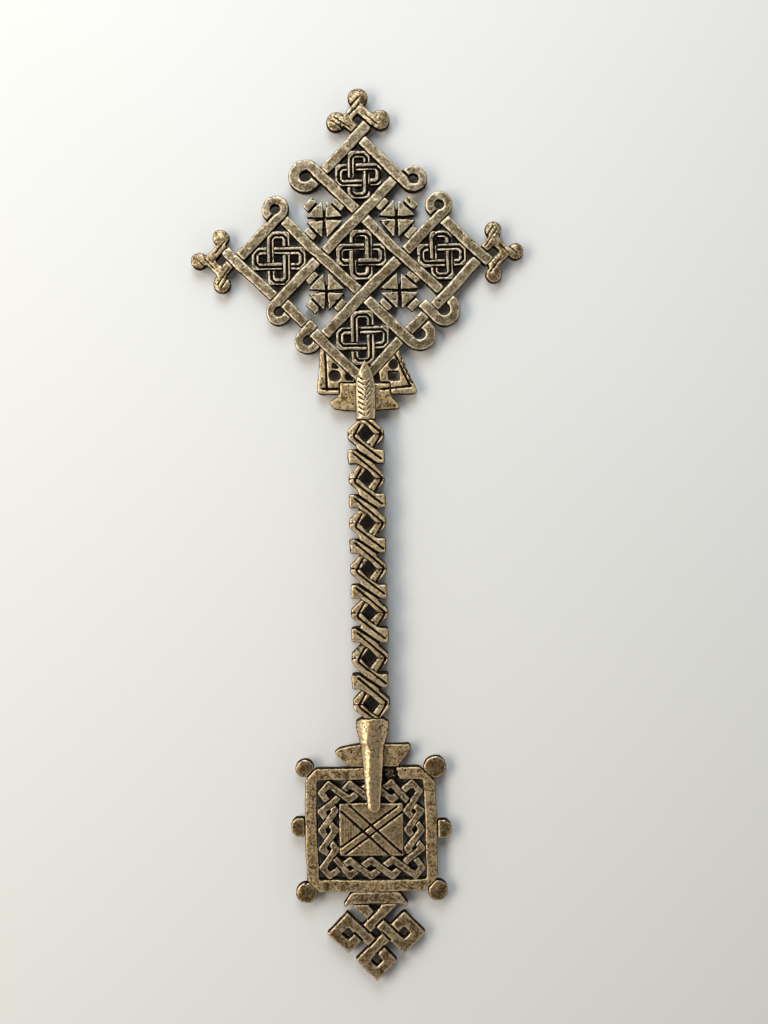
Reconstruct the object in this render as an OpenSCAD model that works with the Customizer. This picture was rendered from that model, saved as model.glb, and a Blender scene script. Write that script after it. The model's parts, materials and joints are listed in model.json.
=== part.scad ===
// Hand cross in cast and brazed metal: a woven strap head, an openwork grip and a braided base plate.
// It lies on its back. +Z rises out of the face, +Y runs to the top of the head.
// The pieces are drawn about the middle of the head, on the line of the grip, and then shifted so that
// the origin is under the middle of the whole cross.

/* [Thickness] */
// Thickness of the head and base plates
plate_t = 4; // [3:0.1:5]
// Height of the plates' backs over the surface that the cross lies on
plate_back = 1; // [0.7:0.1:1.6]
// Depth of the grip and the two forks, back to front
grip_t = 8; // [7.4:0.1:12]
// Thickness of the knots and flowers set into the head
inlay_t = 3.2; // [2:0.1:4]

/* [Fits] */
// Gap filled by braze where two pieces meet
braze_gap = 0.1; // [0.05:0.05:0.25]
// Sideways clearance where one strap is let into another
lap_gap = 0.15; // [0.05:0.05:0.3]
// Slit between the closed end of a curl and its own strap
curl_slit = 0.4; // [0.2:0.1:0.8]

/* [Head straps] */
// Width of the straps
strap_w = 3.7; // [2.8:0.1:4.5]
// Distance of the four inner straps from the middle of the head
inner_line = 9.6; // [8:0.1:12]
// Distance of the outer straps on the upper left side
outer_nw = 29; // [26:0.1:34]
// Distance of the outer straps on the upper right side
outer_ne = 27.9; // [26:0.1:34]
// Distance of the outer straps on the lower right side
outer_se = 29.2; // [26:0.1:34]
// Distance of the outer straps on the lower left side
outer_sw = 30; // [26:0.1:34]
// How far the lower left edge of the left cell lies outside the other straps on that side
left_edge_out = 0.8; // [0:0.1:1.5]

/* [Curls] */
// Radius of the eye in the curls
eye_r = 1.85; // [1.2:0.05:2.4]
// Radius of the eye in the smaller curls on the left and the upper right
small_eye_r = 1.6; // [1.2:0.05:2]
// Width of the smaller curls' bands, which are narrower than the straps
small_curl_w = 2.9; // [2.4:0.1:3.4]
// How far the upper left curl stands past the outer strap
reach_nw = 3; // [2:0.1:6]
// How far the upper right curl stands past the outer strap
reach_ne = 2.2; // [1.5:0.1:6]
// How far the four lower curls stand past the outer straps
reach_low = 3.2; // [2.6:0.1:6]
// How much shorter the tail of the lower left hairpin is than the lower right one's
left_tail_short = 2; // [0:0.1:3]
// How far the curl of the left cell stands past the inner strap
reach_left = 0.3; // [0:0.1:2]
// How far the curl of the top cell stands past the inner strap
reach_top = 4.4; // [2:0.1:5]

/* [Knots] */
// Width of a knot's bars
knot_bar_w = 2.4; // [1.6:0.1:2.8]
// Distance of a knot's bars from its middle
knot_bar_off = 2.65; // [2.2:0.05:3.2]
// Room between the end of a knot ring and the corner of its cell
knot_tip_room = 2.6; // [1.8:0.1:3.2]

/* [Flowers] */
// Half the side of a flower's four petals
petal_half = 4.9; // [3.5:0.1:5.2]
// Width of the grooves between the petals, at a flower's middle, and beside the leaves
petal_groove = 0.7; // [0.4:0.1:1.2]
// Width of the grooves between the petals' tips
petal_gap = 1.5; // [1:0.1:3]
// Length of the leaves beside the petals
leaf_len = 4.4; // [3:0.1:7]
// Distance from a flower's middle to the outer edge of its outward leaf
leaf_reach = 8.1; // [6.8:0.1:8.4]
// Distance of the flowers from the line of the inner strap behind them
flower_stand = 7.7; // [7.1:0.1:8.2]
// Thickness of the web that joins a flower's petals
web_t = 0.9; // [0.6:0.1:1.4]

/* [Crosslets] */
// Half the side of a crosslet's hole
crosslet_hole = 1.45; // [0.9:0.05:2]
// Width of a crosslet's bands
crosslet_band = 3.2; // [2.2:0.1:4]
// Distance of the knobs from the crosslet's middle, along its bands
knob_off = 5.3; // [4.6:0.1:6.5]
// Radius of the knobs on the top crosslet
top_knob_r = 3.4; // [2.6:0.1:4]
// Radius of the knobs on the two side crosslets
side_knob_r = 2.9; // [2.4:0.1:4]
// Place of the top crosslet along its strap
top_crosslet = 31.7; // [30:0.1:38]
// Place of the left crosslet along its strap
left_crosslet = 32.8; // [30:0.1:38]
// Place of the right crosslet along its strap
right_crosslet = 31.2; // [30:0.1:38]

/* [Neck] */
// Length of the neck plate below the lowest corner of the straps
neck_len = 8; // [6:0.1:12]
// Half the width of the neck plate at its waist
neck_waist = 8.6; // [6:0.1:10]
// Half the width of the neck plate across its wings
neck_wing = 12; // [10:0.1:15]
// Height of the wings
neck_wing_h = 5.6; // [4:0.1:7]
// Half the width of the neck plate's stem
neck_stem = 3.2; // [2.4:0.1:4]
// Width of the brackets' bars
bracket_bar = 4; // [2.6:0.1:5]
// Distance of the left bracket's foot from the grip's line
left_bracket_foot = 16; // [13:0.1:20]
// Distance of the left bracket's top from the grip's line
left_bracket_top = 14.6; // [12:0.1:18]
// Distance of the right bracket's foot from the grip's line
right_bracket_foot = 17.8; // [13:0.1:20]
// Distance of the right bracket's top from the grip's line
right_bracket_top = 12; // [11:0.1:18]
// Cut of the brackets' lower outer corners
bracket_blunt = 1; // [0.4:0.1:1.8]

/* [Bracket openings] */
// Metal left between the openings and round them
opening_web = 0.6; // [0.3:0.1:1]
// Radius of the left bracket's round opening
left_round_r = 1.9; // [1.2:0.1:2.2]
// Radius of the left bracket's small opening beside the neck
left_small_r = 1.4; // [0.8:0.1:1.6]
// Radius of the right bracket's round opening
right_round_r = 1.6; // [1:0.1:2]
// Width of the right bracket's square opening
right_square_w = 3.8; // [2.5:0.1:4.4]
// Height of the right bracket's square opening
right_square_h = 3.2; // [2:0.1:3.6]
// Width of the right bracket's notch beside the neck
right_notch_w = 1.6; // [0.8:0.1:2]
// Height of the right bracket's notch beside the neck
right_notch_h = 3.4; // [2:0.1:4]

/* [Grip] */
// Length of the openwork grip
grip_len = 99.5; // [80:0.5:130]
// Width of the grip
grip_w = 12.2; // [9:0.1:16]
// Number of eyes along the grip
grip_eyes = 7; // [5:1:9]
// Distance of the first and last eye from the ends of the grip
grip_end = 4.75; // [4.6:0.05:7]
// Width of an eye's opening
grip_eye_w = 5.5; // [4:0.1:7]
// Height of an eye's opening
grip_eye_h = 6.1; // [4:0.1:7]
// Width of the grip's spine between the eyes
grip_spine = 5.8; // [4:0.1:8]
// Length of the outline's straight sides beside an eye
grip_side = 2.6; // [0.6:0.1:4]
// Height of the outline's slope from an eye's middle to the spine
grip_slope = 4.3; // [3:0.1:4.6]
// Width of the crossing bands below an eye
band_w = 1.8; // [1:0.1:2.6]
// Height of the side blocks where bands wrap round
grip_block_h = 4.8; // [3:0.1:5]
// How far the crossing bands stand proud of the rest
band_relief = 0.9; // [0.3:0.1:1.5]

/* [Forks] */
// Depth of the solid end of the upper fork
upper_root = 3; // [2:0.1:6]
// Length of the upper fork's leaf-shaped tongues
upper_tongue = 17.4; // [12:0.1:22]
// Width of the upper tongues at the root
upper_tongue_w = 6.8; // [5:0.1:9]
// Width of the upper tongues below the point
upper_tip_w = 4.6; // [3:0.1:6]
// Height of the point of the upper tongues
upper_point = 4; // [2:0.1:6]
// Depth of the solid cap of the lower fork
lower_root = 9; // [6:0.1:14]
// Length of the lower fork's tongues
lower_tongue = 23; // [16:0.1:28]
// Width of the lower fork's cap
lower_cap_w = 11.4; // [9:0.1:15]
// Height of the lower fork's cap down to where its sides begin to taper
lower_cap_side = 3; // [2:0.1:5.8]
// Cut of the cap's upper corners, half as tall as it is wide
lower_cap_blunt = 2; // [0.5:0.1:2.8]
// Width of the lower tongues at the cap
lower_tongue_w = 8.2; // [6:0.1:10]
// Width of the lower tongues at the end
lower_tip_w = 4.4; // [3:0.1:6]
// Radius of the rounding across the tongues, on the front
tongue_crown = 5.2; // [4.8:0.1:9]
// Radius of the rounding across the lower fork's cap, on the front
cap_crown = 7.4; // [7:0.1:12]
// Radius of the flatter rounding across the forks' backs
back_crown = 12; // [11:0.5:24]

/* [Base plate] */
// Width of the base frame
base_w = 44; // [40:0.1:56]
// Height of the base frame
base_h = 41.4; // [38:0.1:52]
// Width of the frame's bars
base_bar = 4.1; // [3:0.1:5]
// Sideways place of the base frame from the grip's line
base_off = -1; // [-2:0.1:2]
// Width of the middle panel
panel_w = 21; // [16:0.1:24]
// Height of the middle panel
panel_h = 17.4; // [14:0.1:20]
// Width of the braid's strands
braid_w = 2.3; // [1.4:0.1:2.8]
// Number of crossings along each side of the braid
braid_turns = 4; // [3:1:6]
// Height of the winged collar over the base frame
collar_h = 8.2; // [6:0.1:12]
// Half the width of the collar across its wings
collar_wing = 13; // [10:0.1:16]
// Half the width of the collar where it meets the frame
collar_foot = 8.6; // [7:0.1:12]
// Thickness of the wing tips
wing_tip = 1.4; // [0.8:0.1:2.5]
// Radius of the knob on the upper left corner
knob_r_nw = 3.1; // [2.4:0.1:5]
// Radius of the knob on the upper right corner
knob_r_ne = 3.9; // [2.4:0.1:5]
// Radius of the knob on the lower right corner
knob_r_se = 3.6; // [2.4:0.1:5]
// Radius of the knob on the lower left corner
knob_r_sw = 3.5; // [2.4:0.1:5]
// How far the rim of a round knob lies below its crown
knob_dome = 0.6; // [0.2:0.1:1]
// How far a corner knob is cut flat against the frame
knob_flat = 0.5; // [0.2:0.1:1]
// How far the side lugs stand out
lug_reach = 4.6; // [3:0.1:7]
// Height of the side lugs
lug_h = 6.4; // [4:0.1:9]
// Cut of the lugs' outer corners
lug_blunt = 1.6; // [0.5:0.1:1.9]
// How far the left lug sits above the middle of the frame
left_lug_up = 1.2; // [-4:0.1:4]

/* [Foot] */
// Height of the foot bar
foot_bar_h = 3.9; // [3:0.1:6]
// Half the width of the foot bar at the base frame
foot_bar_top = 7.4; // [5:0.1:10]
// Half the width of the foot bar across its tips
foot_bar_tip = 10.8; // [8:0.1:14]
// Width of the foot knot's strand
foot_w = 3.6; // [2.6:0.1:4.6]
// Half the side of the hole in the middle of the foot knot
foot_mid_hole = 1.5; // [0.8:0.1:2.5]
// Side of the holes in the foot knot's loops
foot_loop_hole = 3.1; // [2:0.1:4.5]
// Distance from the foot bar to the middle of the foot knot
foot_knot_drop = 9.9; // [9:0.1:14]

/* [Hidden] */
$fn = 64;
root2 = sqrt(2);
far = 200;
metal = "#a99a78";
dark_metal = "#85775a";
light_metal = "#b8aa86";

// Heights
plate_z = plate_back + plate_t / 2;
slot_half = plate_t / 2 + braze_gap;

// Strap lattice, drawn on axes turned by 45 degrees: u runs up to the right, v up to the left
strap_half = strap_w / 2;
butt = strap_half + braze_gap;
left_edge = outer_sw + left_edge_out;
flower_off = inner_line + flower_stand;
tail_end = flower_off + leaf_reach + braze_gap;

// Curls: the radius of the eye and of the outer edge, which is flush with the strap's own edge
curl_size = [eye_r, eye_r + strap_w];
small_curl_size = [small_eye_r, small_eye_r + small_curl_w];
function curl_off(size) = size[1] - strap_half;
function tail_line(size) = inner_line - 2 * curl_off(size);
// The hairpins stand further out, and the top curl further up, where two curls would meet
function curl_clear(size) = 2 * size[1] + braze_gap;
function curl_step(size) = 2 * (inner_line - curl_off(size));
function hairpin_reach(size) =
    reach_low + sqrt(max(0, pow(curl_clear(size), 2) - pow(curl_step(size), 2)));
top_curl_v = max(inner_line - reach_top, curl_clear(small_curl_size) - curl_step(small_curl_size) / 2);

// Cells of the lattice: middle and clear half sides, along u and v
function cell(u0, u1, v0, v1) =
    [(u0 + u1) / 2, (v0 + v1) / 2, (u1 - u0) / 2 - strap_half, (v1 - v0) / 2 - strap_half];
cell_top = cell(inner_line, outer_ne, inner_line, outer_nw);
cell_left = cell(-left_edge, -inner_line, inner_line, outer_nw);
cell_middle = cell(-inner_line, inner_line, -inner_line, inner_line);
cell_right = cell(inner_line, outer_ne, -outer_se, -inner_line);
cell_bottom = cell(-outer_sw, -inner_line, -outer_se, -inner_line);

// Crosslets: distance of the hole from the strap's own line
crosslet_off = strap_half + crosslet_hole;
crosslet_out = crosslet_hole + crosslet_band;

// Heights along the grip's line, from the middle of the head downwards
low_corner_x = (outer_se - outer_sw) / root2;
low_corner_y = -(outer_sw + outer_se + strap_w) / root2;
neck_foot_y = low_corner_y - neck_len;
neck_waist_y = neck_foot_y + neck_wing_h;
neck_shoulder_y = neck_waist_y + bracket_bar;
grip_top_y = neck_foot_y - braze_gap - upper_root;
grip_foot_y = grip_top_y - grip_len;
grip_pitch = (grip_len - 2 * grip_end) / (grip_eyes - 1);
band_bend = grip_w / 4;
collar_top_y = grip_foot_y - lower_root - braze_gap;
base_top_y = collar_top_y - collar_h - braze_gap;
base_mid_y = base_top_y - base_h / 2;
base_foot_y = base_top_y - base_h;
foot_bar_y = base_foot_y - braze_gap - foot_bar_h;
foot_mid_y = foot_bar_y - foot_knot_drop;

// Foot knot, on axes turned by 45 degrees
foot_line = foot_mid_hole + foot_w / 2;
foot_out = foot_mid_hole + 2 * foot_w + foot_loop_hole;
foot_slit_depth = plate_t / 4;

// Corners of the base frame, from its middle
knob_nw = [-base_w / 2, base_h / 2];
knob_ne = [base_w / 2, base_h / 2];
knob_se = [base_w / 2, -base_h / 2];
knob_sw = [-base_w / 2, -base_h / 2];

// Braid: eyes evenly round the channel between panel and frame, the two strands swinging to either side
channel_x = (base_w - 2 * base_bar - panel_w) / 2;
channel_y = (base_h - 2 * base_bar - panel_h) / 2;
braid_x = (panel_w + channel_x) / 2;
braid_y = (panel_h + channel_y) / 2;
swing = [(channel_x - braid_w) / 2 - braze_gap, (channel_y - braid_w) / 2 - braze_gap];
braid_eyes = 4 * braid_turns;
// The strands are a little wider where they bend
bend_r = (braid_w + braze_gap) / 2;
corner_signs = [[-1, 1], [1, 1], [1, -1], [-1, -1]];
side_normals = [[0, 1], [1, 0], [0, -1], [-1, 0]];

// Shift that puts the origin under the middle of the cross
highest = (top_crosslet + outer_nw + crosslet_off + 2 * knob_off) / root2 + top_knob_r;
lowest = foot_mid_y - foot_out * root2;
leftmost = -(left_edge + crosslet_off + left_crosslet + 2 * knob_off) / root2 - side_knob_r;
rightmost = (outer_ne + crosslet_off + right_crosslet + 2 * knob_off) / root2 + side_knob_r;
frame_x = -(leftmost + rightmost) / 2;
frame_y = -(highest + lowest) / 2;

// Places a piece drawn about the middle of the head
module placed() {
    translate([frame_x, frame_y, 0]) children();
}

// Extrudes a flat outline evenly about the middle of the plates
module slab(thickness) {
    translate([0, 0, plate_z - thickness / 2]) linear_extrude(thickness) children();
}

// A piece that laps its neighbours: its outline, then what is cut from the upper half where it
// passes under, then what is cut from the lower half where it passes over
module woven(thickness) {
    translate([0, 0, plate_z - thickness / 2]) linear_extrude(thickness / 2) difference() {
        children(0);
        children(2);
    }
    translate([0, 0, plate_z]) linear_extrude(thickness / 2) difference() {
        children(0);
        children(1);
    }
}

// Half-plane that lies on or above the line v = height
module above(height) {
    translate([-far, height]) square([2 * far, 2 * far]);
}

// Half-plane that lies on or beyond the line u = distance
module beyond(distance) {
    translate([distance, -far]) square([2 * far, 2 * far]);
}

// Straight strap along u at a distance v
module strap_u(v, from, to) {
    translate([from, v - strap_half]) square([to - from, strap_w]);
}

// Straight strap along v at a distance u
module strap_v(u, from, to) {
    translate([u - strap_half, from]) square([strap_w, to - from]);
}

// Square notch for a strap crossing at u, v
module lap(u, v) {
    translate([u, v]) square(strap_w + 2 * lap_gap, center = true);
}

// Round curl about the point u, v
module curl(u, v, size) {
    translate([u, v]) difference() {
        circle(size[1]);
        circle(size[0]);
    }
}

// Strap along v at a distance u that ends in a closed curl on its low-u side
module curled_top(u, from, to, size) {
    difference() {
        union() {
            strap_v(u, from, to);
            curl(u - curl_off(size), to, size);
        }
        translate([u - strap_half - curl_slit, to - size[1]]) square([curl_slit, size[1]]);
    }
}

// Hairpin at the low end of a strap along v: half a curl and a tail that runs back up
module hairpin(u, from, tail_to, size) {
    difference() {
        curl(u - curl_off(size), from, size);
        above(from);
    }
    strap_v(u - 2 * curl_off(size), from, tail_to);
}

// Curl at the low end of a strap along v, on its high-u side, that stops against a link and short of
// the tail of the hairpin beside it
module open_curl(u, from, stop, size) {
    difference() {
        curl(u + curl_off(size), from, size);
        intersection() {
            above(stop);
            beyond(u);
        }
        beyond(tail_line(size) - butt);
    }
}

// Eye of a smaller curl, which cuts into the straps beside it
module small_eye(u, v) {
    translate([u, v]) circle(small_eye_r);
}

// Long strap from the upper left curl to the hairpin under the right cell
module long_strap_upper_left() {
    low_end = -outer_se - hairpin_reach(curl_size);
    color(metal) placed() woven(plate_t) {
        rotate(45) {
            curled_top(inner_line, low_end, outer_nw + reach_nw, curl_size);
            hairpin(inner_line, low_end, -tail_end, curl_size);
        }
        rotate(45) {
            lap(inner_line, inner_line);
            lap(inner_line, -outer_se);
        }
        rotate(45) lap(inner_line, -inner_line);
    }
}

// Long strap from the left cell to the curl under the bottom cell
module long_strap_lower_right() {
    low_end = -outer_se - reach_low;
    color(metal) placed() woven(plate_t) {
        rotate(45) {
            strap_v(-inner_line, low_end, outer_nw - butt);
            open_curl(-inner_line, low_end, -outer_se - butt, curl_size);
        }
        rotate(45) lap(-inner_line, -inner_line);
        rotate(45) lap(-inner_line, inner_line);
    }
}

// Long strap from the top cell to the curl under the left cell
module long_strap_lower_left() {
    low_end = -outer_sw - reach_low;
    color(metal) placed() woven(plate_t) {
        rotate(45) mirror([1, -1]) mirror([1, 0]) difference() {
            union() {
                strap_v(-inner_line, low_end, outer_ne - butt);
                open_curl(-inner_line, low_end, -outer_sw - butt, small_curl_size);
            }
            small_eye(curl_off(small_curl_size) - inner_line, low_end);
        }
        rotate(45) lap(-inner_line, inner_line);
        rotate(45) lap(inner_line, inner_line);
    }
}

// Long strap from the upper right curl to the hairpin beside the bottom cell
module long_strap_upper_right() {
    low_end = -outer_sw - hairpin_reach(small_curl_size);
    top_end = outer_ne + reach_ne;
    color(metal) placed() woven(plate_t) {
        rotate(45) mirror([1, -1]) mirror([1, 0]) difference() {
            union() {
                curled_top(inner_line, low_end, top_end, small_curl_size);
                hairpin(inner_line, low_end, -tail_end - left_tail_short, small_curl_size);
            }
            for (end = [low_end, top_end])
                small_eye(inner_line - curl_off(small_curl_size), end);
        }
        rotate(45) {
            lap(inner_line, -inner_line);
            lap(-outer_sw, -inner_line);
        }
        rotate(45) lap(-inner_line, -inner_line);
    }
}

// Upper left edge of the top cell, which carries the top crosslet
module top_left_edge() {
    color(metal) placed() slab(plate_t) rotate(45)
        strap_u(outer_nw, inner_line + butt, top_crosslet + crosslet_hole - braze_gap);
}

// Upper right edge of the top cell, which ends in a curl
module top_right_edge() {
    color(metal) placed() slab(plate_t) rotate(45) rotate(180) difference() {
        curled_top(-outer_ne, butt - outer_nw, -top_curl_v, small_curl_size);
        small_eye(-outer_ne - curl_off(small_curl_size), -top_curl_v);
    }
}

// Upper left edge of the left cell, which ends in a curl
module left_upper_edge() {
    curl_end = reach_left - inner_line;
    color(metal) placed() slab(plate_t) rotate(45) rotate(-90) difference() {
        curled_top(-outer_nw, butt - left_edge, curl_end, small_curl_size);
        small_eye(-outer_nw - curl_off(small_curl_size), curl_end);
    }
}

// Lower left edge of the left cell, which carries the left crosslet
module left_lower_edge() {
    color(metal) placed() slab(plate_t) rotate(45)
        strap_v(-left_edge, inner_line + butt, left_crosslet + crosslet_hole - braze_gap);
}

// Upper right edge of the right cell, which carries the right crosslet
module right_upper_edge() {
    color(metal) placed() slab(plate_t) rotate(45)
        strap_v(outer_ne, braze_gap - right_crosslet - crosslet_hole, -inner_line - butt);
}

// Lower right edge of the right cell, let over the long strap's hairpin
module right_lower_edge() {
    color(metal) placed() woven(plate_t) {
        rotate(45) strap_u(-outer_se, tail_line(curl_size) + butt, outer_ne - butt);
        union();
        rotate(45) lap(inner_line, -outer_se);
    }
}

// Lower left edge of the bottom cell, let over the long strap's hairpin
module bottom_left_edge() {
    color(metal) placed() woven(plate_t) {
        rotate(45) strap_v(-outer_sw, -outer_se - strap_half, -tail_line(small_curl_size) - butt);
        union();
        rotate(45) lap(-outer_sw, -inner_line);
    }
}

// Lower right edge of the bottom cell
module bottom_right_edge() {
    color(metal) placed() slab(plate_t) rotate(45)
        strap_u(-outer_se, -outer_sw + butt, -inner_line - butt);
}

// Short link that closes the lower left flower's cell
module left_link() {
    color(metal) placed() slab(plate_t) rotate(45)
        strap_v(-outer_sw, butt - tail_line(small_curl_size), inner_line - butt);
}

// Short link that closes the lower right flower's cell
module right_link() {
    color(metal) placed() slab(plate_t) rotate(45)
        strap_u(-outer_se, butt - inner_line, tail_line(curl_size) - butt);
}

// Outline of one ring of a knot, upright, with its corners cut to lie against the straps
module knot_ring_outline(spot, turn) {
    ring_half = knot_bar_off + knot_bar_w / 2;
    ring_reach = (spot[2] + spot[3]) / root2 - knot_tip_room;
    intersection() {
        rotate(turn) difference() {
            square([2 * ring_half, 2 * ring_reach], center = true);
            square([2 * (ring_half - knot_bar_w), 2 * (ring_reach - knot_bar_w)], center = true);
        }
        rotate(45) square([2 * (spot[2] - braze_gap), 2 * (spot[3] - braze_gap)], center = true);
    }
}

// Two notches of a knot at opposite crossings
module knot_laps(side) {
    for (end = [-1, 1])
        translate([end * side * knot_bar_off, end * knot_bar_off])
            square(knot_bar_w + 2 * lap_gap, center = true);
}

// One ring of a knot, linked through the other ring. At the crossings on the line given by over
// it passes over, at the other two under.
module knot_ring(spot, turn, over) {
    color(dark_metal) placed() rotate(45) translate([spot[0], spot[1]]) rotate(-45) woven(inlay_t) {
        knot_ring_outline(spot, turn);
        knot_laps(-over);
        knot_laps(over);
    }
}

module top_knot_upright() { knot_ring(cell_top, 0, -1); }
module top_knot_level() { knot_ring(cell_top, 90, 1); }
module left_knot_upright() { knot_ring(cell_left, 0, -1); }
module left_knot_level() { knot_ring(cell_left, 90, 1); }
module middle_knot_upright() { knot_ring(cell_middle, 0, 1); }
module middle_knot_level() { knot_ring(cell_middle, 90, -1); }
module right_knot_upright() { knot_ring(cell_right, 0, -1); }
module right_knot_level() { knot_ring(cell_right, 90, 1); }
module bottom_knot_upright() { knot_ring(cell_bottom, 0, -1); }
module bottom_knot_level() { knot_ring(cell_bottom, 90, 1); }

// Flower with four petals and three leaves. It lies between two inner straps, its third leaf outward.
module flower(turn) {
    side_reach = inner_line - butt;
    leaf_start = petal_half + petal_groove;
    color(light_metal) placed() rotate(45 + turn) translate([flower_off, 0]) {
        slab(inlay_t) {
            difference() {
                square(2 * petal_half, center = true);
                for (quarter = [0 : 3])
                    rotate(45 + 90 * quarter) polygon([
                        [-petal_groove, -petal_groove / 2],
                        [0, -petal_groove / 2],
                        [root2 * petal_half, -petal_gap / 2],
                        [root2 * petal_half, petal_gap / 2],
                        [0, petal_groove / 2],
                        [-petal_groove, petal_groove / 2]
                    ]);
            }
            translate([leaf_start, -leaf_len / 2]) square([leaf_reach - leaf_start, leaf_len]);
            for (side = [0, 1])
                mirror([0, side]) translate([-leaf_len / 2, leaf_start])
                    square([leaf_len, side_reach - leaf_start]);
        }
        slab(web_t) {
            square([leaf_len, 2 * side_reach], center = true);
            translate([0, -leaf_len / 2]) square([leaf_reach, leaf_len]);
        }
    }
}

module upper_right_flower() { flower(0); }
module upper_left_flower() { flower(90); }
module lower_left_flower() { flower(180); }
module lower_right_flower() { flower(270); }

// Round knob with low domes on both faces
module domed_knob(radius) {
    dome_r = (radius * radius + knob_dome * knob_dome) / (2 * knob_dome);
    intersection() {
        slab(plate_t) circle(radius);
        translate([0, 0, plate_z + plate_t / 2 - dome_r]) sphere(dome_r);
        translate([0, 0, plate_z - plate_t / 2 + dome_r]) sphere(dome_r);
    }
}

// Crosslet of three bands and three knobs about a square hole. The fourth side is the strap that
// carries it, which runs along +X below the hole.
module crosslet(knob_r) {
    color(metal) difference() {
        union() {
            slab(plate_t) square(2 * crosslet_out, center = true);
            for (spot = [[-1, 1], [1, 1], [1, -1]])
                translate([spot[0] * knob_off, spot[1] * knob_off, 0]) domed_knob(knob_r);
        }
        slab(2 * plate_t) {
            square(2 * crosslet_hole, center = true);
            translate([-far + crosslet_hole, -far - crosslet_hole + braze_gap]) square(far);
        }
    }
}

module top_crosslet_knot() {
    placed() rotate(45) translate([top_crosslet, outer_nw + crosslet_off]) crosslet(top_knob_r);
}

module left_crosslet_knot() {
    placed() rotate(45) translate([-left_edge - crosslet_off, left_crosslet]) rotate(90)
        crosslet(side_knob_r);
}

module right_crosslet_knot() {
    placed() rotate(45) translate([outer_ne + crosslet_off, -right_crosslet]) rotate(-90)
        crosslet(side_knob_r);
}

// Everything that lies within the straps' outer edges at the bottom of the head, with room for braze
module head_corner() {
    rotate(45) translate([-outer_sw - butt, -outer_se - butt]) square(far);
}

// Plate that stands the head on the grip, with a stem under the fork and two wings
module neck_plate() {
    color(metal) placed() slab(plate_t) difference() {
        union() {
            translate([-neck_stem, neck_foot_y]) square([2 * neck_stem, -neck_foot_y]);
            polygon([
                [-neck_waist, neck_shoulder_y],
                [-neck_waist, neck_waist_y],
                [-neck_wing, neck_foot_y + 2 * wing_tip],
                [-neck_wing + wing_tip, neck_foot_y + wing_tip / 2],
                [-neck_stem, neck_foot_y],
                [neck_stem, neck_foot_y],
                [neck_wing - wing_tip, neck_foot_y + wing_tip / 2],
                [neck_wing, neck_foot_y + wing_tip],
                [neck_waist, neck_waist_y],
                [neck_waist, neck_shoulder_y]
            ]);
        }
        head_corner();
    }
}

// Outline of the bracket on the right: a slanting bar, a foot bar and a web up to the neck
module bracket_outline(top_x, foot_x) {
    polygon([
        [neck_stem + braze_gap, neck_shoulder_y + braze_gap],
        [neck_stem + braze_gap, 0],
        [top_x, 0],
        [top_x, low_corner_y + top_x],
        [foot_x, neck_waist_y + bracket_blunt],
        [foot_x - bracket_blunt, neck_waist_y],
        [neck_waist + braze_gap, neck_waist_y],
        [neck_waist + braze_gap, neck_shoulder_y + braze_gap]
    ]);
}

// Room for the curl that ends a strap along v, and for the strap as far as it reaches past the edge
module curl_room(side, edge, reach, size) {
    translate([side, -edge - reach]) {
        translate([curl_off(size), 0]) circle(size[1] + braze_gap);
        translate([-butt, 0]) square([2 * butt, reach]);
    }
}

// Left bracket, with a three-cornered, a round and a small opening
module left_bracket() {
    side_x = left_bracket_top - bracket_bar;
    corner_foot = neck_shoulder_y + 2 * (opening_web + left_round_r);
    corner_top = low_corner_y + low_corner_x + side_x - root2 * opening_web;
    color(metal) placed() slab(plate_t) difference() {
        mirror([1, 0]) bracket_outline(left_bracket_top, left_bracket_foot);
        head_corner();
        rotate(45) mirror([1, -1])
            curl_room(-inner_line, outer_sw, hairpin_reach(small_curl_size), small_curl_size);
        polygon([
            [-side_x, corner_top],
            [-side_x, corner_foot],
            [corner_top - corner_foot - side_x, corner_foot]
        ]);
        translate([opening_web - side_x, neck_shoulder_y + opening_web + left_round_r]) circle(left_round_r);
        translate([-neck_stem - opening_web - left_small_r, neck_shoulder_y + opening_web + left_small_r])
            circle(left_small_r);
    }
}

// Right bracket, with a round and a square opening and a notch
module right_bracket() {
    middle_x = right_bracket_top - bracket_bar / 2;
    square_y = neck_shoulder_y + opening_web;
    round_y = square_y + right_square_h + opening_web + right_round_r;
    color(metal) placed() slab(plate_t) difference() {
        bracket_outline(right_bracket_top, right_bracket_foot);
        head_corner();
        rotate(45) curl_room(-inner_line, outer_se, reach_low, curl_size);
        translate([middle_x, round_y]) circle(right_round_r);
        translate([middle_x - right_square_w / 2, square_y]) square([right_square_w, right_square_h]);
        translate([neck_stem + braze_gap, neck_shoulder_y]) square([right_notch_w, right_notch_h]);
    }
}

// Opening of one eye of the grip
module grip_eye() {
    polygon([[-grip_eye_w / 2, 0], [0, grip_eye_h / 2], [grip_eye_w / 2, 0], [0, -grip_eye_h / 2]]);
}

// Flat outline of the grip, with its top edge on the X axis
module grip_outline() {
    half = grip_w / 2;
    difference() {
        intersection() {
            union() {
                translate([-grip_spine / 2, -grip_len]) square([grip_spine, grip_len]);
                for (i = [0 : grip_eyes - 1])
                    translate([0, -grip_end - i * grip_pitch]) polygon([
                        [-half, grip_side / 2],
                        [-grip_spine / 2, grip_slope],
                        [grip_spine / 2, grip_slope],
                        [half, grip_side / 2],
                        [half, -grip_side / 2],
                        [grip_spine / 2, -grip_slope],
                        [-grip_spine / 2, -grip_slope],
                        [-half, -grip_side / 2]
                    ]);
                for (i = [0 : grip_eyes - 2])
                    translate([0, -grip_end - (i + 0.5) * grip_pitch])
                        square([grip_w, grip_block_h], center = true);
            }
            translate([-half, -grip_len]) square([grip_w, grip_len]);
        }
        for (i = [0 : grip_eyes - 1])
            translate([0, -grip_end - i * grip_pitch]) grip_eye();
    }
}

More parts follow.
